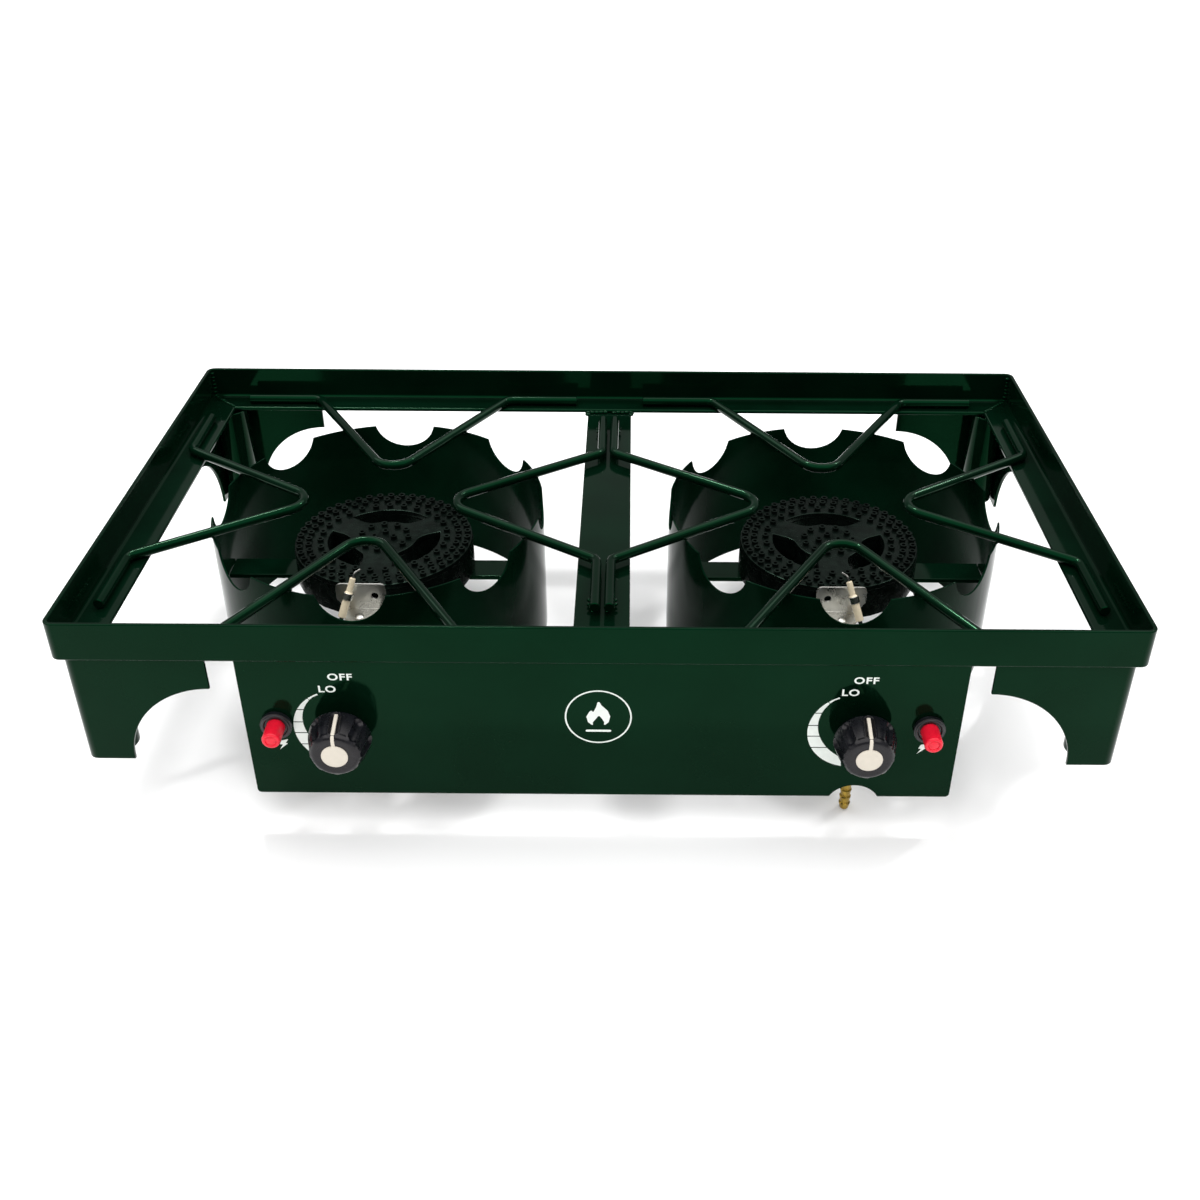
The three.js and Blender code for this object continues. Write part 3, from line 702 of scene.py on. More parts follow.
class STOVE_OT_frame(bpy.types.Operator):
    """Builds the welded angle-iron ring with the flat bar across its middle"""

    bl_idname = "stove.frame"
    bl_label = "Frame"

    def execute(self, context):
        size = context.scene.stove_frame
        low = span("frame_left_rail")[0]
        high = span("frame_right_rail")[1]
        front, back = span("frame_front_rail")[0].y, span("frame_back_rail")[1].y
        bottom, top = low.z, high.z
        wall, flange = size.wall * MM, size.flange * MM
        section = filleted(
            [(0, bottom), (0, top), (wall, top), (wall, bottom + wall), (flange, bottom + wall),
             (flange, bottom)],
            [1.2 * MM, size.edge * MM, size.edge * MM, size.root * MM, 1.8 * MM, 0.5 * MM])
        half_x, half_y = (high.x - low.x) / 2, (back - front) / 2
        corner = size.corner * MM
        steps = 8
        verts = []
        for sx, sy, start in ((1, 1, 0), (-1, 1, 90), (-1, -1, 180), (1, -1, 270)):
            for k in range(steps + 1):
                angle = math.radians(start + 90 * k / steps)
                for inset, z in section:
                    radius = corner - inset
                    if radius > 0:
                        x = sx * (half_x - corner) + radius * math.cos(angle)
                        y = sy * (half_y - corner) + radius * math.sin(angle)
                    else:
                        x, y = sx * (half_x - inset), sy * (half_y - inset)
                    verts.append((x, y, z))
        faces = stitched(len(verts) // len(section), len(section), closed=True)
        shape = shifted(mesh_of(verts, faces), y=(front + back) / 2)
        enamelled("top_frame", shape,
                  [f"frame_{side}_rail" for side in ("front", "back", "left", "right")])
        enamelled("middle_bar", block(*span("centre_bar"), 0.5 * MM), ["centre_bar"])
        return {"FINISHED"}


class STOVE_OT_corners(bpy.types.Operator):
    """Builds the pressed corner brackets and the tubes that take the legs"""

    bl_idname = "stove.corners"
    bl_label = "Corner brackets"

    cut: length("Cut", 63.5, "Radius of the quarter-round cut-out")
    bend: length("Bend", 8.0, "Outer radius of the bracket's bend")
    wall: length("Wall", 2.5, "Thickness of the bracket")
    bore: length("Bore", 12.5, "Radius of the leg's hole")

    def execute(self, context):
        wall, bend, cut = self.wall * MM, self.bend * MM, self.cut * MM
        for name, (sx, sy) in CORNERS.items():
            low, high = span(f"leg_bracket_{name}")
            reach = high.x - low.x
            bottom, top = low.z, high.z
            corner = Vector((low.x if sx < 0 else high.x, low.y if sy < 0 else high.y))
            straight = reach - bend

            def edge_height(run):
                """Lower edge of a leg's face, run measured from its free end."""
                return bottom + math.sqrt(max(cut * cut - run * run, 0)) if run < cut else bottom

            runs = [cut * math.sin(math.radians(a)) for a in range(0, 91, 3)]
            runs += [cut + 0.001 * MM, straight]
            plan = []
            centre = bend - wall / 2
            for run in runs:
                plan.append((Vector((reach - run, wall / 2)), Vector((0, -1)), edge_height(run)))
            for k in range(1, 9):
                angle = math.radians(90 * k / 9)
                out = Vector((-math.sin(angle), -math.cos(angle)))
                plan.append((Vector((bend, bend)) + out * centre, out, bottom))
            for run in reversed(runs):
                plan.append((Vector((wall / 2, reach - run)), Vector((-1, 0)), edge_height(run)))
            placed = []
            for point, normal, low_edge in plan:
                at = corner + Vector((-sx * point.x, -sy * point.y))
                placed.append((at, Vector((-sx * normal.x, -sy * normal.y)), low_edge, top))
            enamelled(f"corner_bracket_{name}", sheet_wall(placed, wall, 0.4 * MM, False),
                      [f"leg_bracket_{name}"])

            low, high = span(f"leg_socket_{name}")
            outer, bore = (high.x - low.x) / 2, self.bore * MM
            tube = filleted([(bore, low.z), (outer, low.z), (outer, high.z), (bore, high.z)],
                            0.5 * MM)
            middle = (low + high) / 2
            enamelled(f"leg_tube_{name}", shifted(lathe(tube, 48, True), middle.x, middle.y),
                      [f"leg_socket_{name}"])
        return {"FINISHED"}


# ------------------------------------------------------------------ pot supports


def rod_route(size, base):
    """Centre line of one bent rod. Its tip points at the origin and its feet lie at u = base."""
    tip, spread = size.tip * MM, size.arm_spread * MM
    tip_bend, foot_bend = size.tip_bend * MM, size.foot_bend * MM
    vertex = tip
    for _ in range(6):
        slope = math.atan2(spread, base - vertex)
        vertex = tip - tip_bend * (1 / math.sin(slope) - 1)
    reach = size.reach * MM
    corners = [(base, -reach, 0), (base, -spread, 0), (vertex, 0, 0), (base, spread, 0),
               (base, reach, 0)]
    return bent_path(corners, [foot_bend, tip_bend, foot_bend])


def rod_places(side):
    """Base distance of the four rods of one cooking place, and the matrix that places each."""
    outer, inner = span(f"{side}_support_outer"), span(f"{side}_support_inner")
    back, front = span(f"{side}_support_back"), span(f"{side}_support_front")
    centre = Vector(((back[0].x + back[1].x) / 2, (outer[0].y + outer[1].y) / 2,
                     (outer[0].z + outer[1].z) / 2))
    radius = bpy.context.scene.stove_rods.radius * MM
    far = max(abs(outer[0].x), abs(outer[1].x)) - abs(centre.x) - radius
    near = abs(centre.x) - min(abs(inner[0].x), abs(inner[1].x)) - radius
    outwards, inwards = (0, 180) if side == "right" else (180, 0)
    places = {
        "outer": (far, outwards),
        "inner": (near, inwards),
        "back": (back[1].y - centre.y - radius, 90),
        "front": (centre.y - front[0].y - radius, -90),
    }
    middle = Matrix.Translation(centre)
    return {place: (base, middle @ Matrix.Rotation(math.radians(heading), 4, "Z"))
            for place, (base, heading) in places.items()}


class STOVE_OT_supports(bpy.types.Operator):
    """Builds the bent rods that pots stand on"""

    bl_idname = "stove.supports"
    bl_label = "Pot supports"

    def execute(self, context):
        size = context.scene.stove_rods
        for side in SIDES:
            for place, (base, turn) in rod_places(side).items():
                shape = moved(sweep(rod_route(size, base), size.radius * MM), turn)
                enamelled(f"pot_rod_{side}_{place}", shape, [f"{side}_support_{place}"])
        return {"FINISHED"}


class STOVE_OT_welds(bpy.types.Operator):
    """Lays the weld beads along the rod feet, on the windshield rims and in the frame's corners"""

    bl_idname = "stove.welds"
    bl_label = "Welds"

    tack: length("Tack", 2.1, "Radius of a tack weld on a rim")

    def execute(self, context):
        size = context.scene.stove_rods
        frame_size = context.scene.stove_frame
        tree = bead_tree(FINISHES["gloss_enamel"])
        radius = frame_size.bead * MM
        shelf = span("frame_left_rail")[0].z + frame_size.wall * MM
        feet, tacks = [], []
        for side in SIDES:
            rim = span(f"{side}_windshield")
            ring_centre = ((rim[0] + rim[1]) / 2).to_2d()
            ring_size = ((rim[1] - rim[0]) / 2).to_2d() - Vector((0.75, 0.75)) * MM
            for place, (base, turn) in rod_places(side).items():
                side_step = size.radius * MM * (1 if place != "inner" else -1)
                for end in (-1, 1):
                    near = Vector((base + side_step * 0.9, end * (size.reach - 10) * MM, 0))
                    far = Vector((base + side_step * 0.9, end * (size.arm_spread + 26) * MM, 0))
                    line = []
                    for k in range(6):
                        at = turn @ near.lerp(far, k / 5)
                        line.append((at.x, at.y, shelf + 0.6 * MM))
                    feet.append(line if place != "inner" else line[:2])
                route = [turn @ p for p in rod_route(size, base)]
                for a, b in zip(route, route[1:]):
                    offsets = [p.to_2d() - ring_centre for p in (a, b)]
                    here, there = (math.hypot(off.x / ring_size.x, off.y / ring_size.y) - 1
                                   for off in offsets)
                    if here * there < 0:
                        at = a.lerp(b, here / (here - there))
                        tacks.append([(at.x, at.y, rim[1].z), (at.x, at.y + 0.2 * MM, rim[1].z)])
        weld("foot_welds", feet, radius * 0.8, 3.3 * MM, 5, tree)
        weld("rim_tacks", tacks, self.tack * MM, 3 * MM, 9, tree)

        low, high = span("frame_left_rail")[0], span("frame_right_rail")[1]
        front, back = span("frame_front_rail")[0].y, span("frame_back_rail")[1].y
        wall = frame_size.wall * MM
        corners = []
        for sx in (-1, 1):
            for sy, y in ((1, front), (-1, back)):
                x = low.x if sx < 0 else high.x
                inside = Vector((x - sx * (wall + 1 * MM), y + sy * (wall + 1 * MM)))
                corners.append([(*inside, high.z - 4 * MM), (*inside, shelf + 1 * MM)])
                out = Vector((x - sx * (frame_size.flange - 2) * MM,
                              y + sy * (frame_size.flange - 2) * MM, shelf))
                corners.append([(*inside, shelf), tuple(out)])
        bar_low, bar_high = span("centre_bar")
        for x in (bar_low.x, bar_high.x):
            for y in (front + frame_size.flange * MM, back - frame_size.flange * MM):
                inward = 1 if y < 0 else -1
                corners.append([(x, y, shelf - wall * 0.8), (x * 0.2, y, shelf - wall * 0.8)])
                corners.append([(x, y, bar_high.z), (x, y + inward * 3 * MM, bar_high.z)])
        weld("corner_welds", corners, radius * 0.85, 3.3 * MM, 2, tree)
        return {"FINISHED"}


# ------------------------------------------------------------------ windshields


class STOVE_OT_windshields(bpy.types.Operator):
    """Builds the rolled windshields with their scalloped rims"""

    bl_idname = "stove.windshields"
    bl_label = "Windshields"

    def execute(self, context):
        size = context.scene.stove_shield
        wall, half, deep = size.wall * MM, size.notch_half * MM, size.notch_depth * MM
        arch, notch_radius = size.arch_half * MM, (half * half + deep * deep) / (2 * deep)
        for side in SIDES:
            low, high = span(f"{side}_windshield")
            centre = (low + high) / 2
            across, along = ((high - low) / 2 - Vector((wall, wall, 0)) / 2).to_2d()
            tube_x = middle_of(f"{side}_gas_jet").x - centre.x
            arch_top = high.z - size.arch_top * MM
            arch_centre = arch_top - arch

            def top_at(point):
                """Height of the scalloped rim at a point of the wall."""
                for i in range(size.notches):
                    heading = Vector((math.cos(i * step), math.sin(i * step)))
                    off = abs(heading.cross(point))
                    if heading.dot(point) > 0 and off < half:
                        return high.z - deep + notch_radius - math.sqrt(notch_radius**2 - off**2)
                return high.z

            def bottom_at(point):
                """Height of the lower edge, raised to an arch over the mixing tube."""
                off = abs(point.x - tube_x)
                if point.y > 0 or off >= arch:
                    return low.z
                return arch_centre + math.sqrt(arch**2 - off**2)

            step = 2 * math.pi / size.notches
            angles = {2 * math.pi * i / 360 for i in range(360)}
            for i in range(size.notches):
                skew = across * math.sin(i * step), along * math.cos(i * step)
                for end in (-1, 1):
                    edge = math.atan2(*skew) + math.asin(end * half / math.hypot(*skew))
                    angles.add(edge % (2 * math.pi))
            nudge = 1e-4
            for end in (-1, 1):
                edge = -math.acos((tube_x + end * arch) / across) % (2 * math.pi)
                angles |= {edge, edge + nudge, edge - nudge}
            plan = []
            for a in sorted(angles):
                point = Vector((across * math.cos(a), along * math.sin(a)))
                out = Vector((along * math.cos(a), across * math.sin(a))).normalized()
                plan.append((point, out, bottom_at(point), top_at(point)))
            shape = shifted(sheet_wall(plan, wall, 0.35 * MM, True), centre.x, centre.y)
            # The windshields take the enamel whose lighter green is painted reflection.
            piece(f"wind_ring_{side}", shape, "stove", "reflection_painted_enamel",
                  [f"{side}_windshield"], 50)
        return {"FINISHED"}


# ------------------------------------------------------------------ burners


class STOVE_OT_burners(bpy.types.Operator):
    """Builds the cast burners with their nippled caps, and what holds them"""

    bl_idname = "stove.burners"
    bl_label = "Burners"

    def crescent(self, size, middle):
        """One slot between ring and hub, its ends drawn to points and its corners eased."""
        ring, hub, arm = size.ring_inner * MM, size.hub * MM, size.arm_half * MM
        reach = 60 - math.degrees(math.asin(arm / ring)) - 1.5
        steps = 24
        outline = arc((0, 0), ring, middle - reach, middle + reach, steps)
        for i in range(1, steps):
            off = reach * (1 - 2 * i / steps)
            arm_edge = arm / math.sin(math.radians(60 - abs(off)))
            radius = min((hub**7 + arm_edge**7) ** (1 / 7), ring - 0.2 * MM)
            angle = math.radians(middle + off)
            outline.append((radius * math.cos(angle), radius * math.sin(angle)))
        return outline

    def execute(self, context):
        size = context.scene.stove_burner
        iron = "enamelled_cast_iron"
        tree = nipple_tree(FINISHES[iron])
        for side in SIDES:
            low, high = span(f"{side}_burner_cap")
            centre = (low + high) / 2
            outlines = [circle(0, 0, (high.x - low.x) / 2, 96)]
            outlines += [self.crescent(size, a) for a in (90, 210, 330)]
            cap = flat_sheet(outlines, high.z - low.z, 1.0 * MM)
            piece(f"burner_plate_{side}", shifted(cap, centre.x, centre.y, low.z), "stove",
                  iron, [f"{side}_burner_cap"])
            seed_mesh = bpy.data.meshes.new("nipples")
            values = {
                "Foot radius": size.nipple * MM, "Hole radius": size.nipple_hole * MM,
                "Height": size.nipple_height * MM,
                "Position": (centre.x, centre.y, high.z + size.nipple_height * MM * 0.42),
            }
            grown(f"burner_nipples_{side}", seed_mesh, tree, values, "stove")
            copied(f"burner_casting_{side}", f"{side}_burner_body", iron, 30)
            bar = f"{side}_burner_bar"
            enamelled(f"burner_strap_{side}", block(*span(bar), 0.6 * MM), [bar])
            copied(f"burner_screw_{side}", f"{side}_burner_bolt", "zinc_plate",
                   edge=0.3 * MM)
        return {"FINISHED"}


# ------------------------------------------------------------------ control panel and print


def lettering(text):
    """Flat capitals 5.6 mm high standing up from Z = 0, centred on the origin."""
    height, stretch = 5.6 * MM, 1.2
    capital = 0.73  # height of the font's capitals when its size is 1
    curve = bpy.data.curves.new("letters", "FONT")
    curve.body = text
    curve.size = height / capital
    curve.align_x, curve.align_y = "CENTER", "CENTER"
    curve.space_character = 1.12
    curve.offset = height * 0.035
    curve.extrude = 0.03 * MM
    return moved(curve_mesh(curve), Matrix.Diagonal((stretch, 1, 1, 1)))


def inked(*outlines):
    """A flat printed shape from its outline and its holes, in mm."""
    return flat_sheet([[(x * MM, z * MM) for x, z in outline] for outline in outlines],
                      0.06 * MM, 0.01 * MM)


# Where the marks stand, in mm: those of a dial from near its stem, the emblem from mid-panel.
DIAL_AT, OFF_AT, LO_AT, EMBLEM_AT = (-4.2, -1.2), (0.3, 43.2), (-9.7, 32.7), (-1.6, 10)
DIAL_INWARDS, SPARK_INWARDS, SPARK_DOWN = 1.9, 2.4, 18.6
SPARK = [
    (-1.4, 3.2), (3.6, 4.4), (1.4, 0.8), (3.0, 0.6), (-3.4, -5.0), (-0.8, -0.6), (-2.8, -0.2),
]
FLAME = [
    (0.0, 15.0), (2.2, 10.5), (6.6, 5.6), (8.4, 0.6), (7.2, -4.6), (3.6, -8.0),
    (4.2, -4.6), (2.4, -1.2), (0.4, 1.6), (-1.8, -1.8), (-4.0, -4.8), (-3.6, -8.0),
    (-7.2, -4.6), (-8.4, 0.2), (-6.4, 4.4), (-4.6, 6.4), (-3.8, 3.6), (-1.4, 9.0),
]
UNDERLINE = [(-9, -13.2), (9, -13.2), (9, -11.4), (-9, -11.4)]


class STOVE_OT_panel(bpy.types.Operator):
    """Builds the control panel with its folded top and its printed dials"""

    bl_idname = "stove.panel"
    bl_label = "Control panel"

    notch_half: length("Notch", 17.5, "Half the width of the notch over the gas inlet")
    notch_high: length("Notch height", 10.5, "Height of the notch over the gas inlet")
    dial_outer: length("Dial", 32.7, "Outer radius of the printed dials")
    emblem: length("Emblem", 23.5, "Radius of the printed emblem")

    def execute(self, context):
        low, high = span("control_panel")
        wall, corner = 1.5 * MM, 3 * MM
        half, rise = self.notch_half * MM, self.notch_high * MM
        notch_radius = (half**2 + rise**2) / (2 * rise)
        notch_x = middle_of("hose_barb").x + 2 * MM
        swing = math.degrees(math.asin(half / notch_radius))
        centre_z = low.z + rise - notch_radius
        notch = arc((notch_x, centre_z), notch_radius, 90 + swing, 90 - swing, 16)
        edge = filleted(
            [notch[0], notch[-1], (high.x, low.z), (high.x, high.z), (low.x, high.z),
             (low.x, low.z)],
            [0, 0, corner, 0.6 * MM, 0.6 * MM, corner])
        outline = notch + edge[2:]
        holes = []
        for side in SIDES:
            for node, radius in ((f"{side}_valve_stem", 6), (f"{side}_igniter_button", 8.3)):
                centre = middle_of(node)
                holes.append(circle(centre.x, centre.z, radius * MM, 40))
        face = moved(flat_sheet([outline] + holes, wall, 0.35 * MM), ALONG_Y)
        face = shifted(face, y=low.y + wall)
        bar_low, bar_high = span("centre_bar")
        clear = 3 * MM
        folds = [
            block((x0, low.y + wall * 0.6, high.z - wall), (x1, high.y, high.z), 0.3 * MM)
            for x0, x1 in ((low.x, bar_low.x - clear), (bar_high.x + clear, high.x))
        ]
        enamelled("panel_sheet", together(face, *folds), ["control_panel"], 35)
        self.print_dials(low.y)
        return {"FINISHED"}

    def print_dials(self, face):
        """The marks round each knob, the spark signs and the emblem, all in one ink."""
        stamps = []

        def stamp(shape, x, z, at=(0, 0)):
            """Adds a shape, turned to the front, at mm from a place on the panel."""
            stamps.append(shifted(moved(shape, ALONG_Y), x + at[0] * MM, face, z + at[1] * MM))

        for side, sign in SIDES.items():
            stem, button = middle_of(f"{side}_valve_stem"), middle_of(f"{side}_igniter_button")
            x, z = stem.x - sign * DIAL_INWARDS * MM, stem.z
            for shape in self.dial():
                stamp(shape, x, z, DIAL_AT)
            stamp(lettering("OFF"), x, z, OFF_AT)
            stamp(lettering("LO"), x, z, LO_AT)
            stamp(inked(SPARK), button.x, button.z, (-sign * SPARK_INWARDS, -SPARK_DOWN))
        outer, inner = (circle(0, 0, self.emblem - step, 72) for step in (0, 1.1))
        for shape in (inked(outer, inner), inked(filleted(FLAME, 0.8, 3)),
                      inked(filleted(UNDERLINE, 0.8, 3))):
            stamp(shape, 0, z, EMBLEM_AT)
        piece("panel_print", together(*stamps), "stove", "screen_ink")

    def dial(self):
        """The dial's segments about its centre: a crescent cut by level gaps, all in mm."""
        outer, gap = self.dial_outer, 0.8
        widest, narrowest = 9.4, 1.2
        wave_start, wave_length = 10, 235  # degrees
        short_arc, long_arc, inner_end = range(23, 38), range(39, 170), 164  # degrees

        def at(radius, angle):
            """A point of the dial, its angle in degrees to the left of the top."""
            return -radius * math.sin(math.radians(angle)), radius * math.cos(math.radians(angle))

        def depth(angle):
            """Width of the crescent at an angle."""
            wave = max(math.sin(math.radians((angle - wave_start) / wave_length * 180)), 0)
            return max(widest * wave**1.6, narrowest)

        shapes = [inked([at(outer, a) for a in short_arc]
                        + [at(outer - depth(a), a) for a in reversed(short_arc)])]
        outside = [at(outer, a) for a in long_arc]
        inside = [at(outer - depth(a), a) for a in long_arc if a <= inner_end]
        inside.append(outside[-1])

        def across(line, z):
            """Where a falling line crosses a level."""
            for (x0, z0), (x1, z1) in zip(line, line[1:]):
                if z1 <= z <= z0:
                    return x0 + (x1 - x0) * (z0 - z) / max(z0 - z1, 1e-9)
            return line[0][0] if z > line[0][1] else line[-1][0]

        cuts = [outside[0][1], 16.0, 5.0, -4.7, -15.0, outside[-1][1]]
        for top, bottom in zip(cuts, cuts[1:]):
            high = top - gap / 2 if top != cuts[0] else top
            low = bottom + gap / 2 if bottom != cuts[-1] else bottom
            levels = [high + (low - high) * k / 12 for k in range(13)]
            outline = [(across(outside, z), z) for z in levels]
            outline += [(across(inside, z), z) for z in reversed(levels)]
            shapes.append(inked(outline))
        return shapes


# ------------------------------------------------------------------ knobs and igniters


class STOVE_OT_knobs(bpy.types.Operator):
    """Builds the knobs with their grip pockets, pointers and stems"""

    bl_idname = "stove.knobs"
    bl_label = "Knobs"

    def side(self, size, z, depth, back_radius):
        """Radius of the knob's side at height z over its back."""
        return back_radius - (back_radius - size.face * MM) * (z / depth) ** 1.5

    def shell(self, size, depth, back_radius):
        """The knob's skin about +Z, its back at Z = 0, and the pointer's pocket at +Y."""
        crown, back_bevel, cap_radius = size.crown * MM, 0.8 * MM, 9.7 * MM
        half, deep, lip_height = size.pocket_half * MM, size.pocket_depth * MM, 0.45 * MM
        first, last = 2.2 * MM, depth - 2.4 * MM  # the two ends of a pocket
        lip_at, lip_width = 1.15, 0.16  # in half widths of a pocket
        face_depth = depth - 0.5 * MM  # the face lies a little below the crown
        around, rows = 320, 40
        profile = [(back_radius - back_bevel, 0.0)]
        for i in range(rows + 1):
            z = back_bevel + (depth - crown - back_bevel) * i / rows
            profile.append((self.side(size, z, depth, back_radius), z))
        edge_radius = profile[-1][0]
        for k in range(1, 9):
            a = math.radians(90 * k / 8)
            profile.append((edge_radius - crown + crown * math.cos(a),
                            depth - crown + crown * math.sin(a)))
        profile += [(edge_radius - crown - 0.8 * MM, depth), (cap_radius, face_depth),
                    (0.0, face_depth)]
        verts = []
        step = 2 * math.pi / size.pockets
        for radius, z in profile:
            for i in range(around):
                angle = 2 * math.pi * i / around
                off = ((angle + step / 2) % step - step / 2) * radius
                over = max(first + half - z, z - (last - half), 0)
                near = math.hypot(off, over) / half
                dip = deep * math.sqrt(1 - near**2) if near < 1 else 0
                lip = lip_height * math.exp(-(((near - lip_at) / lip_width) ** 2))
                on_side = radius > 14 * MM and z > 1 * MM
                r = max(radius - dip + (lip if on_side else 0), 0)
                verts.append((r * math.sin(angle), r * math.cos(angle), z))
        return mesh_of(verts, stitched(len(profile), around, last=False))

    def pointer(self, size, depth, back_radius):
        """Cream cap with a line that runs up the face and back along the top pocket."""
        cap = lathe([(0, depth - 1.5 * MM), (9.2 * MM, depth - 1.5 * MM), (9.2 * MM, depth),
                     (8.6 * MM, depth + 0.45 * MM), (6.5 * MM, depth + 0.7 * MM),
                     (0, depth + 0.75 * MM)], 64)
        half = 1.25 * MM
        crown, proud = size.crown * MM, size.crown * MM + 0.35 * MM
        face = self.side(size, depth - crown, depth, back_radius) - crown
        path = [(8.0 * MM, depth + 0.4 * MM), (face, depth + 0.38 * MM)]
        for a in (65, 40, 15):
            turn = math.radians(a)
            path.append((face + proud * math.cos(turn), depth - crown + proud * math.sin(turn)))
        for z in (depth - 6 * MM, depth * 0.5, depth * 0.3, 3.6 * MM):
            path.append((self.side(size, z, depth, back_radius) + 0.3 * MM, z))
        verts = []
        for i, (up, z) in enumerate(path):
            before, after = path[max(i - 1, 0)], path[min(i + 1, len(path) - 1)]
            run = (Vector(after) - Vector(before)).normalized()
            out = Vector((-run.y, run.x))
            inward = Vector((up, z)) - out * 2.6 * MM
            rounded = Vector((up, z)) - out * 0.35 * MM
            for x, at in ((-half, rounded), (-half * 0.6, (up, z)), (half * 0.6, (up, z)),
                          (half, rounded), (half, inward), (-half, inward)):
                verts.append((x, at[0], at[1]))
        return together(cap, mesh_of(verts, stitched(len(path), len(verts) // len(path))))

    def execute(self, context):
        size = context.scene.stove_knob
        for side in SIDES:
            low, high = span(f"{side}_knob")
            centre = (low + high) / 2
            depth, back_radius = high.y - low.y, (high.x - low.x) / 2
            place = frontwards(centre.x, high.y, centre.z)
            body = f"{side}_knob"
            skin = moved(self.shell(size, depth, back_radius), place)
            piece(f"knob_grip_{side}", skin, body, "moulded_phenolic",
                  [f"{side}_knob"], 50)
            mark = moved(self.pointer(size, depth, back_radius), place)
            piece(f"knob_cap_{side}", mark, body, "cream_urea",
                  [f"{side}_knob_pointer"], 50)
            stem_low, stem_high = span(f"{side}_valve_stem")
            long = stem_high.y - stem_low.y
            radius, bevel = 4 * MM, 0.4 * MM
            stem = lathe([(0, 0), (radius - bevel, 0), (radius, bevel), (radius, long - bevel),
                          (radius - bevel, long), (0, long)], 32)
            stem_place = frontwards(centre.x, stem_high.y, centre.z)
            piece(f"tap_stem_{side}", moved(stem, stem_place), body,
                  "turned_brass", [f"{side}_valve_stem"])
            copied(f"stem_seal_{side}", f"{side}_stem_washer", "zinc_plate", 30,
                   body=f"{side}_knob_push")
        return {"FINISHED"}


class STOVE_OT_igniters(bpy.types.Operator):
    """Builds the push-button igniters with their threaded bushings"""

    bl_idname = "stove.igniters"
    bl_label = "Igniters"

    def execute(self, context):
        for side in SIDES:
            nut_low, nut_high = span(f"{side}_igniter_nut")
            centre = (nut_low + nut_high) / 2
            deep, radius = nut_high.y - nut_low.y, (nut_high.x - nut_low.x) / 2
            place = frontwards(centre.x, nut_high.y, centre.z)
            bore = 8.35 * MM
            rows = [(bore, 0), (radius, 0), (radius, deep - 1.3 * MM),
                    (radius - 0.9 * MM, deep - 0.3 * MM), (radius - 1.5 * MM, deep),
                    (bore + 0.4 * MM, deep), (bore, deep - 0.4 * MM)]
            piece(f"bushing_{side}", moved(lathe(rows, 48, True), place), "stove",
                  "black_nylon", [f"{side}_igniter_nut"], 30)
            copied(f"spark_unit_{side}", f"{side}_igniter_body",
                   "black_nylon", 35)
            inner, outer = radius - 0.7 * MM, radius + 0.3 * MM
            foot, rim = deep - 1.5 * MM, deep - 0.7 * MM
            ring = filleted([(inner, foot), (outer, foot), (outer, rim), (inner, rim)], 0.25 * MM)
            piece(f"bushing_ring_{side}", moved(lathe(ring, 48, True), place), "stove",
                  "black_nylon", (), 60)

            low, high = span(f"{side}_igniter_button")
            long, radius = high.y - low.y, (high.x - low.x) / 2
            button = lathe([
                (0, 0), (radius - 0.3 * MM, 0), (radius, 0.3 * MM), (radius, long - 1.6 * MM),
                (radius - 0.5 * MM, long - 0.5 * MM), (radius - 1.6 * MM, long),
                (radius - 2.3 * MM, long - 0.25 * MM), (radius - 2.7 * MM, long - 0.9 * MM),
                (radius - 3.4 * MM, long - 0.5 * MM), (1.2 * MM, long - 0.1 * MM),
                (0, long - 0.1 * MM)], 48)
            place = frontwards(centre.x, high.y, centre.z)
            piece(f"push_button_{side}", moved(button, place), f"{side}_igniter_button",
                  "red_abs", [f"{side}_igniter_button"], 50)
        return {"FINISHED"}


# ------------------------------------------------------------------ electrodes and gas line


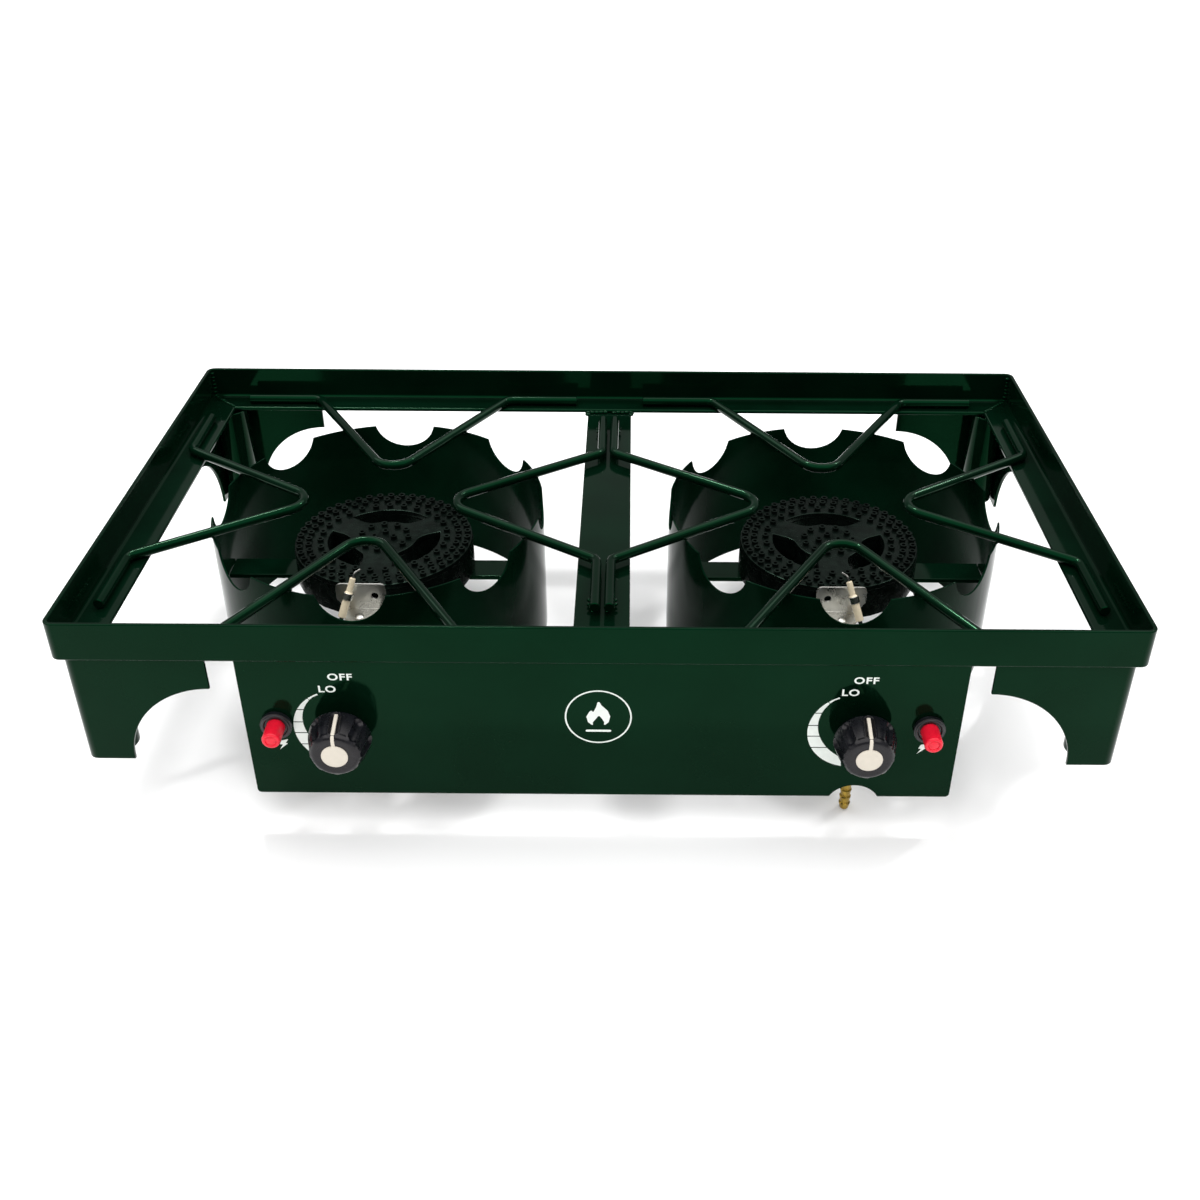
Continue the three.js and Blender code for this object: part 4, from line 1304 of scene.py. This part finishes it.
class STOVE_OT_electrodes(bpy.types.Operator):
    """Builds the spark electrodes on their pressed brackets, and their leads"""

    bl_idname = "stove.electrodes"
    bl_label = "Electrodes"

    def execute(self, context):
        for side, sign in SIDES.items():
            low = span(f"{side}_electrode")[0]
            bracket = span(f"{side}_electrode_bracket")
            centre_x = (bracket[0].x + bracket[1].x) / 2
            foot = Vector((centre_x + sign * 13.5 * MM, low.y + 2.9 * MM, low.z + 1.5 * MM))
            head = Vector((centre_x + sign * 4 * MM, foot.y + 12.5 * MM, foot.z + 28.5 * MM))
            run = head - foot
            turn = Matrix.Translation(foot) @ run.to_track_quat("Z", "Y").to_matrix().to_4x4()
            tall = run.length
            rod = filleted([
                (0, 0), (3.2 * MM, 0), (3.2 * MM, 0.62 * tall), (2.4 * MM, 0.66 * tall),
                (2.4 * MM, tall), (0, tall)], [0, 0.8 * MM, 0.5 * MM, 0.4 * MM, 0.9 * MM, 0],
                closed=False)
            piece(f"spark_rod_{side}", moved(lathe(rod, 40), turn), "stove",
                  "glazed_steatite", [f"{side}_electrode"])
            clip = filleted([(3.25 * MM, 0.45 * tall), (4.1 * MM, 0.45 * tall),
                             (4.1 * MM, 0.62 * tall), (3.25 * MM, 0.62 * tall)], 0.3 * MM)
            piece(f"rod_clip_{side}", moved(lathe(clip, 40, True), turn), "stove",
                  "zinc_plate", (), 50)
            tip = head + Vector((-sign * 5 * MM, 6 * MM, 4 * MM))
            wire = bent_path([foot.lerp(head, 0.97), foot.lerp(head, 1.13), tip], [2.2 * MM])
            piece(f"spark_wire_{side}", sweep(wire, 0.8 * MM, 12), "stove",
                  "drawn_steel")
            copied(f"spark_bracket_{side}", f"{side}_electrode_bracket", "zinc_plate",
                   35, 0.25 * MM)
            hole_x, hole_z = centre_x - sign * 10.5 * MM, bracket[1].z - 11.5 * MM
            lip = lathe(filleted([(3.05 * MM, 0), (4.6 * MM, 0), (4.1 * MM, 0.8 * MM),
                                  (3.05 * MM, 0.9 * MM)], 0.2 * MM), 32, True)
            place = frontwards(hole_x, bracket[1].y - 1.25 * MM, hole_z)
            piece(f"bracket_eyelet_{side}", moved(lip, place), "stove",
                  "zinc_plate", (), 50)
            piece(f"bracket_fixing_{side}", self.screw(f"{side}_bracket_screw"), "stove",
                  "zinc_plate", [f"{side}_bracket_screw"], 40)
            copied(f"spark_lead_{side}", f"{side}_ignition_wire",
                   "silicone_sleeve", 60)
        return {"FINISHED"}

    def screw(self, node):
        """A pan-head screw on the places of a CAD node."""
        low, high = span(node)
        centre = (low + high) / 2
        radius, head = (high.x - low.x) / 2, 2.4 * MM
        top, shank = high.z, 2 * MM
        shape = lathe([(0, low.z), (shank, low.z), (shank, top - head), (radius, top - head),
                       (radius, top - 1.1 * MM), (radius * 0.75, top - 0.25 * MM),
                       (radius * 0.45, top), (0, top)], 32)
        return shifted(shape, centre.x, centre.y)


class STOVE_OT_gas_line(bpy.types.Operator):
    """Builds the taps, jets, pipe and hose barb behind the panel"""

    bl_idname = "stove.gas_line"
    bl_label = "Gas line"

    ridges: IntProperty(name="Ridges", description="Ridges of the hose barb", default=4, min=1)

    def execute(self, context):
        for side in SIDES:
            copied(f"tap_body_{side}", f"{side}_gas_valve", "turned_brass", 32)
            copied(f"jet_{side}", f"{side}_gas_jet", "turned_brass", 35)
        copied("gas_pipe", "gas_manifold", "drawn_steel", 35)
        low, high = span("hose_barb")
        centre = (low + high) / 2
        bore, slim, wide = 2 * MM, 3.4 * MM, 4.3 * MM
        rows = [(bore, low.z), (2.9 * MM, low.z), (3.3 * MM, low.z + 0.6 * MM)]
        pitch = 6.5 * MM
        for i in range(self.ridges):
            z = low.z + pitch * i
            rows += [(wide - 0.15 * MM, z + 4.6 * MM), (wide, z + 5.2 * MM), (slim, z + 5.9 * MM),
                     (slim, z + 6.5 * MM)]
        shoulder = high.z - 13.3 * MM
        rows += [(slim, shoulder), (7.5 * MM, shoulder), (7.5 * MM, shoulder + 8 * MM),
                 (wide, shoulder + 8 * MM), (wide, high.z), (bore, high.z)]
        barb = shifted(lathe(rows, 40, True), centre.x, centre.y)
        piece("hose_tail", barb, "stove", "turned_brass", ["hose_barb"], 40)
        return {"FINISHED"}


# ------------------------------------------------------------------ stage


CAMERA_PLACE = (0.0198, -0.9215, 0.6846)
CAMERA_TILT, CAMERA_ROLL = 56.96, 0.40  # degrees
CAMERA_LENS, CAMERA_SHIFT = 39.83, (-0.0248, -0.0133)
LIGHTS = {  # place, target, width, height, watts
    "ceiling": ((0.0, -0.5, 4.0), (0.0, -0.5, 0.0), 9.0, 9.0, 520),
    "back_sparkle": ((-0.6, 1.7, 3.2), (0, 0, 0.12), 0.5, 0.2, 34),
    "side_sparkle": ((1.9, 1.3, 2.6), (0, 0, 0.12), 0.2, 0.3, 16),
}


class STOVE_OT_stage(bpy.types.Operator):
    """Sets up the pale floor, the lights and the camera"""

    bl_idname = "stove.stage"
    bl_label = "Stage"

    def light(self, name, place, target, width, height, watts):
        """An area light that points at its target."""
        data = bpy.data.lights.new(name, "AREA")
        data.shape, data.size, data.size_y, data.energy = "RECTANGLE", width, height, watts
        lamp = bpy.data.objects.new(name, data)
        lamp.location = place
        aim = Vector(target) - Vector(place)
        lamp.rotation_euler = aim.to_track_quat("-Z", "Y").to_euler()
        bpy.context.scene.collection.objects.link(lamp)

    def execute(self, context):
        scene = context.scene
        floor_material = finish("pale_floor", linear("f4f4f4"), linear("f8f8f8"), 400, (0.8, 0.9))
        half_width, low = 12.0, CAD_BOX[0][2] - 0.5 * MM
        floor = bpy.data.meshes.new("floor")
        floor.from_pydata([(x * half_width, y * half_width, low)
                           for x, y in ((-1, -1), (1, -1), (1, 1), (-1, 1))], [], [(0, 1, 2, 3)])
        floor.materials.append(floor_material)
        ground = bpy.data.objects.new("floor", floor)
        scene.collection.objects.link(ground)

        for name, settings in LIGHTS.items():
            self.light(name, *settings)

        world = bpy.data.worlds.new("studio")
        scene.world = world
        world.use_nodes = True
        backdrop = world.node_tree.nodes["Background"]
        backdrop.inputs["Color"].default_value = (1, 1, 1, 1)
        backdrop.inputs["Strength"].default_value = 0.35
        scene.view_settings.view_transform = "Standard"

        data = bpy.data.cameras.new("camera")
        data.lens, data.sensor_width = CAMERA_LENS, 36.0
        data.shift_x, data.shift_y = CAMERA_SHIFT
        camera = bpy.data.objects.new("camera", data)
        tilt = Matrix.Rotation(math.radians(CAMERA_TILT), 4, "X")
        roll = Matrix.Rotation(math.radians(CAMERA_ROLL), 4, "Z")
        camera.matrix_world = Matrix.Translation(CAMERA_PLACE) @ tilt @ roll
        scene.collection.objects.link(camera)
        scene.camera = camera
        return {"FINISHED"}


# ------------------------------------------------------------------ the sidebar, and the build

STEPS = [
    STOVE_OT_frame, STOVE_OT_corners, STOVE_OT_supports, STOVE_OT_windshields, STOVE_OT_burners,
    STOVE_OT_welds, STOVE_OT_panel, STOVE_OT_knobs, STOVE_OT_igniters, STOVE_OT_electrodes,
    STOVE_OT_gas_line, STOVE_OT_stage,
]
SETTINGS = {
    "stove_colours": StoveColours,
    "stove_frame": StoveFrameSizes,
    "stove_rods": StoveRodSizes,
    "stove_shield": StoveShieldSizes,
    "stove_burner": StoveBurnerSizes,
    "stove_knob": StoveKnobSizes,
}


class STOVE_PT_sidebar(bpy.types.Panel):
    """Lists the stove's settings and building steps"""

    bl_idname = "STOVE_PT_sidebar"
    bl_label = "Camping Stove"
    bl_space_type = "VIEW_3D"
    bl_region_type = "UI"
    bl_category = "Stove"

    def draw(self, context):
        for name, group in SETTINGS.items():
            settings = getattr(context.scene, name)
            column = self.layout.box().column()
            for field in group.__annotations__:
                column.prop(settings, field)
        for step in STEPS:
            self.layout.operator(step.bl_idname)


def register():
    for cls in (*SETTINGS.values(), *STEPS, STOVE_PT_sidebar):
        bpy.utils.register_class(cls)
    for name, group in SETTINGS.items():
        setattr(bpy.types.Scene, name, PointerProperty(type=group))


def unregister():
    for name in SETTINGS:
        delattr(bpy.types.Scene, name)
    for cls in reversed((*SETTINGS.values(), *STEPS, STOVE_PT_sidebar)):
        bpy.utils.unregister_class(cls)


def main():
    """Builds the whole stove with its settings as they are."""
    register()
    FINISHES.update(make_finishes(bpy.context.scene.stove_colours))
    for step in STEPS:
        group, name = step.bl_idname.split(".")
        getattr(getattr(bpy.ops, group), name)()


if __name__ == "__main__":
    main()
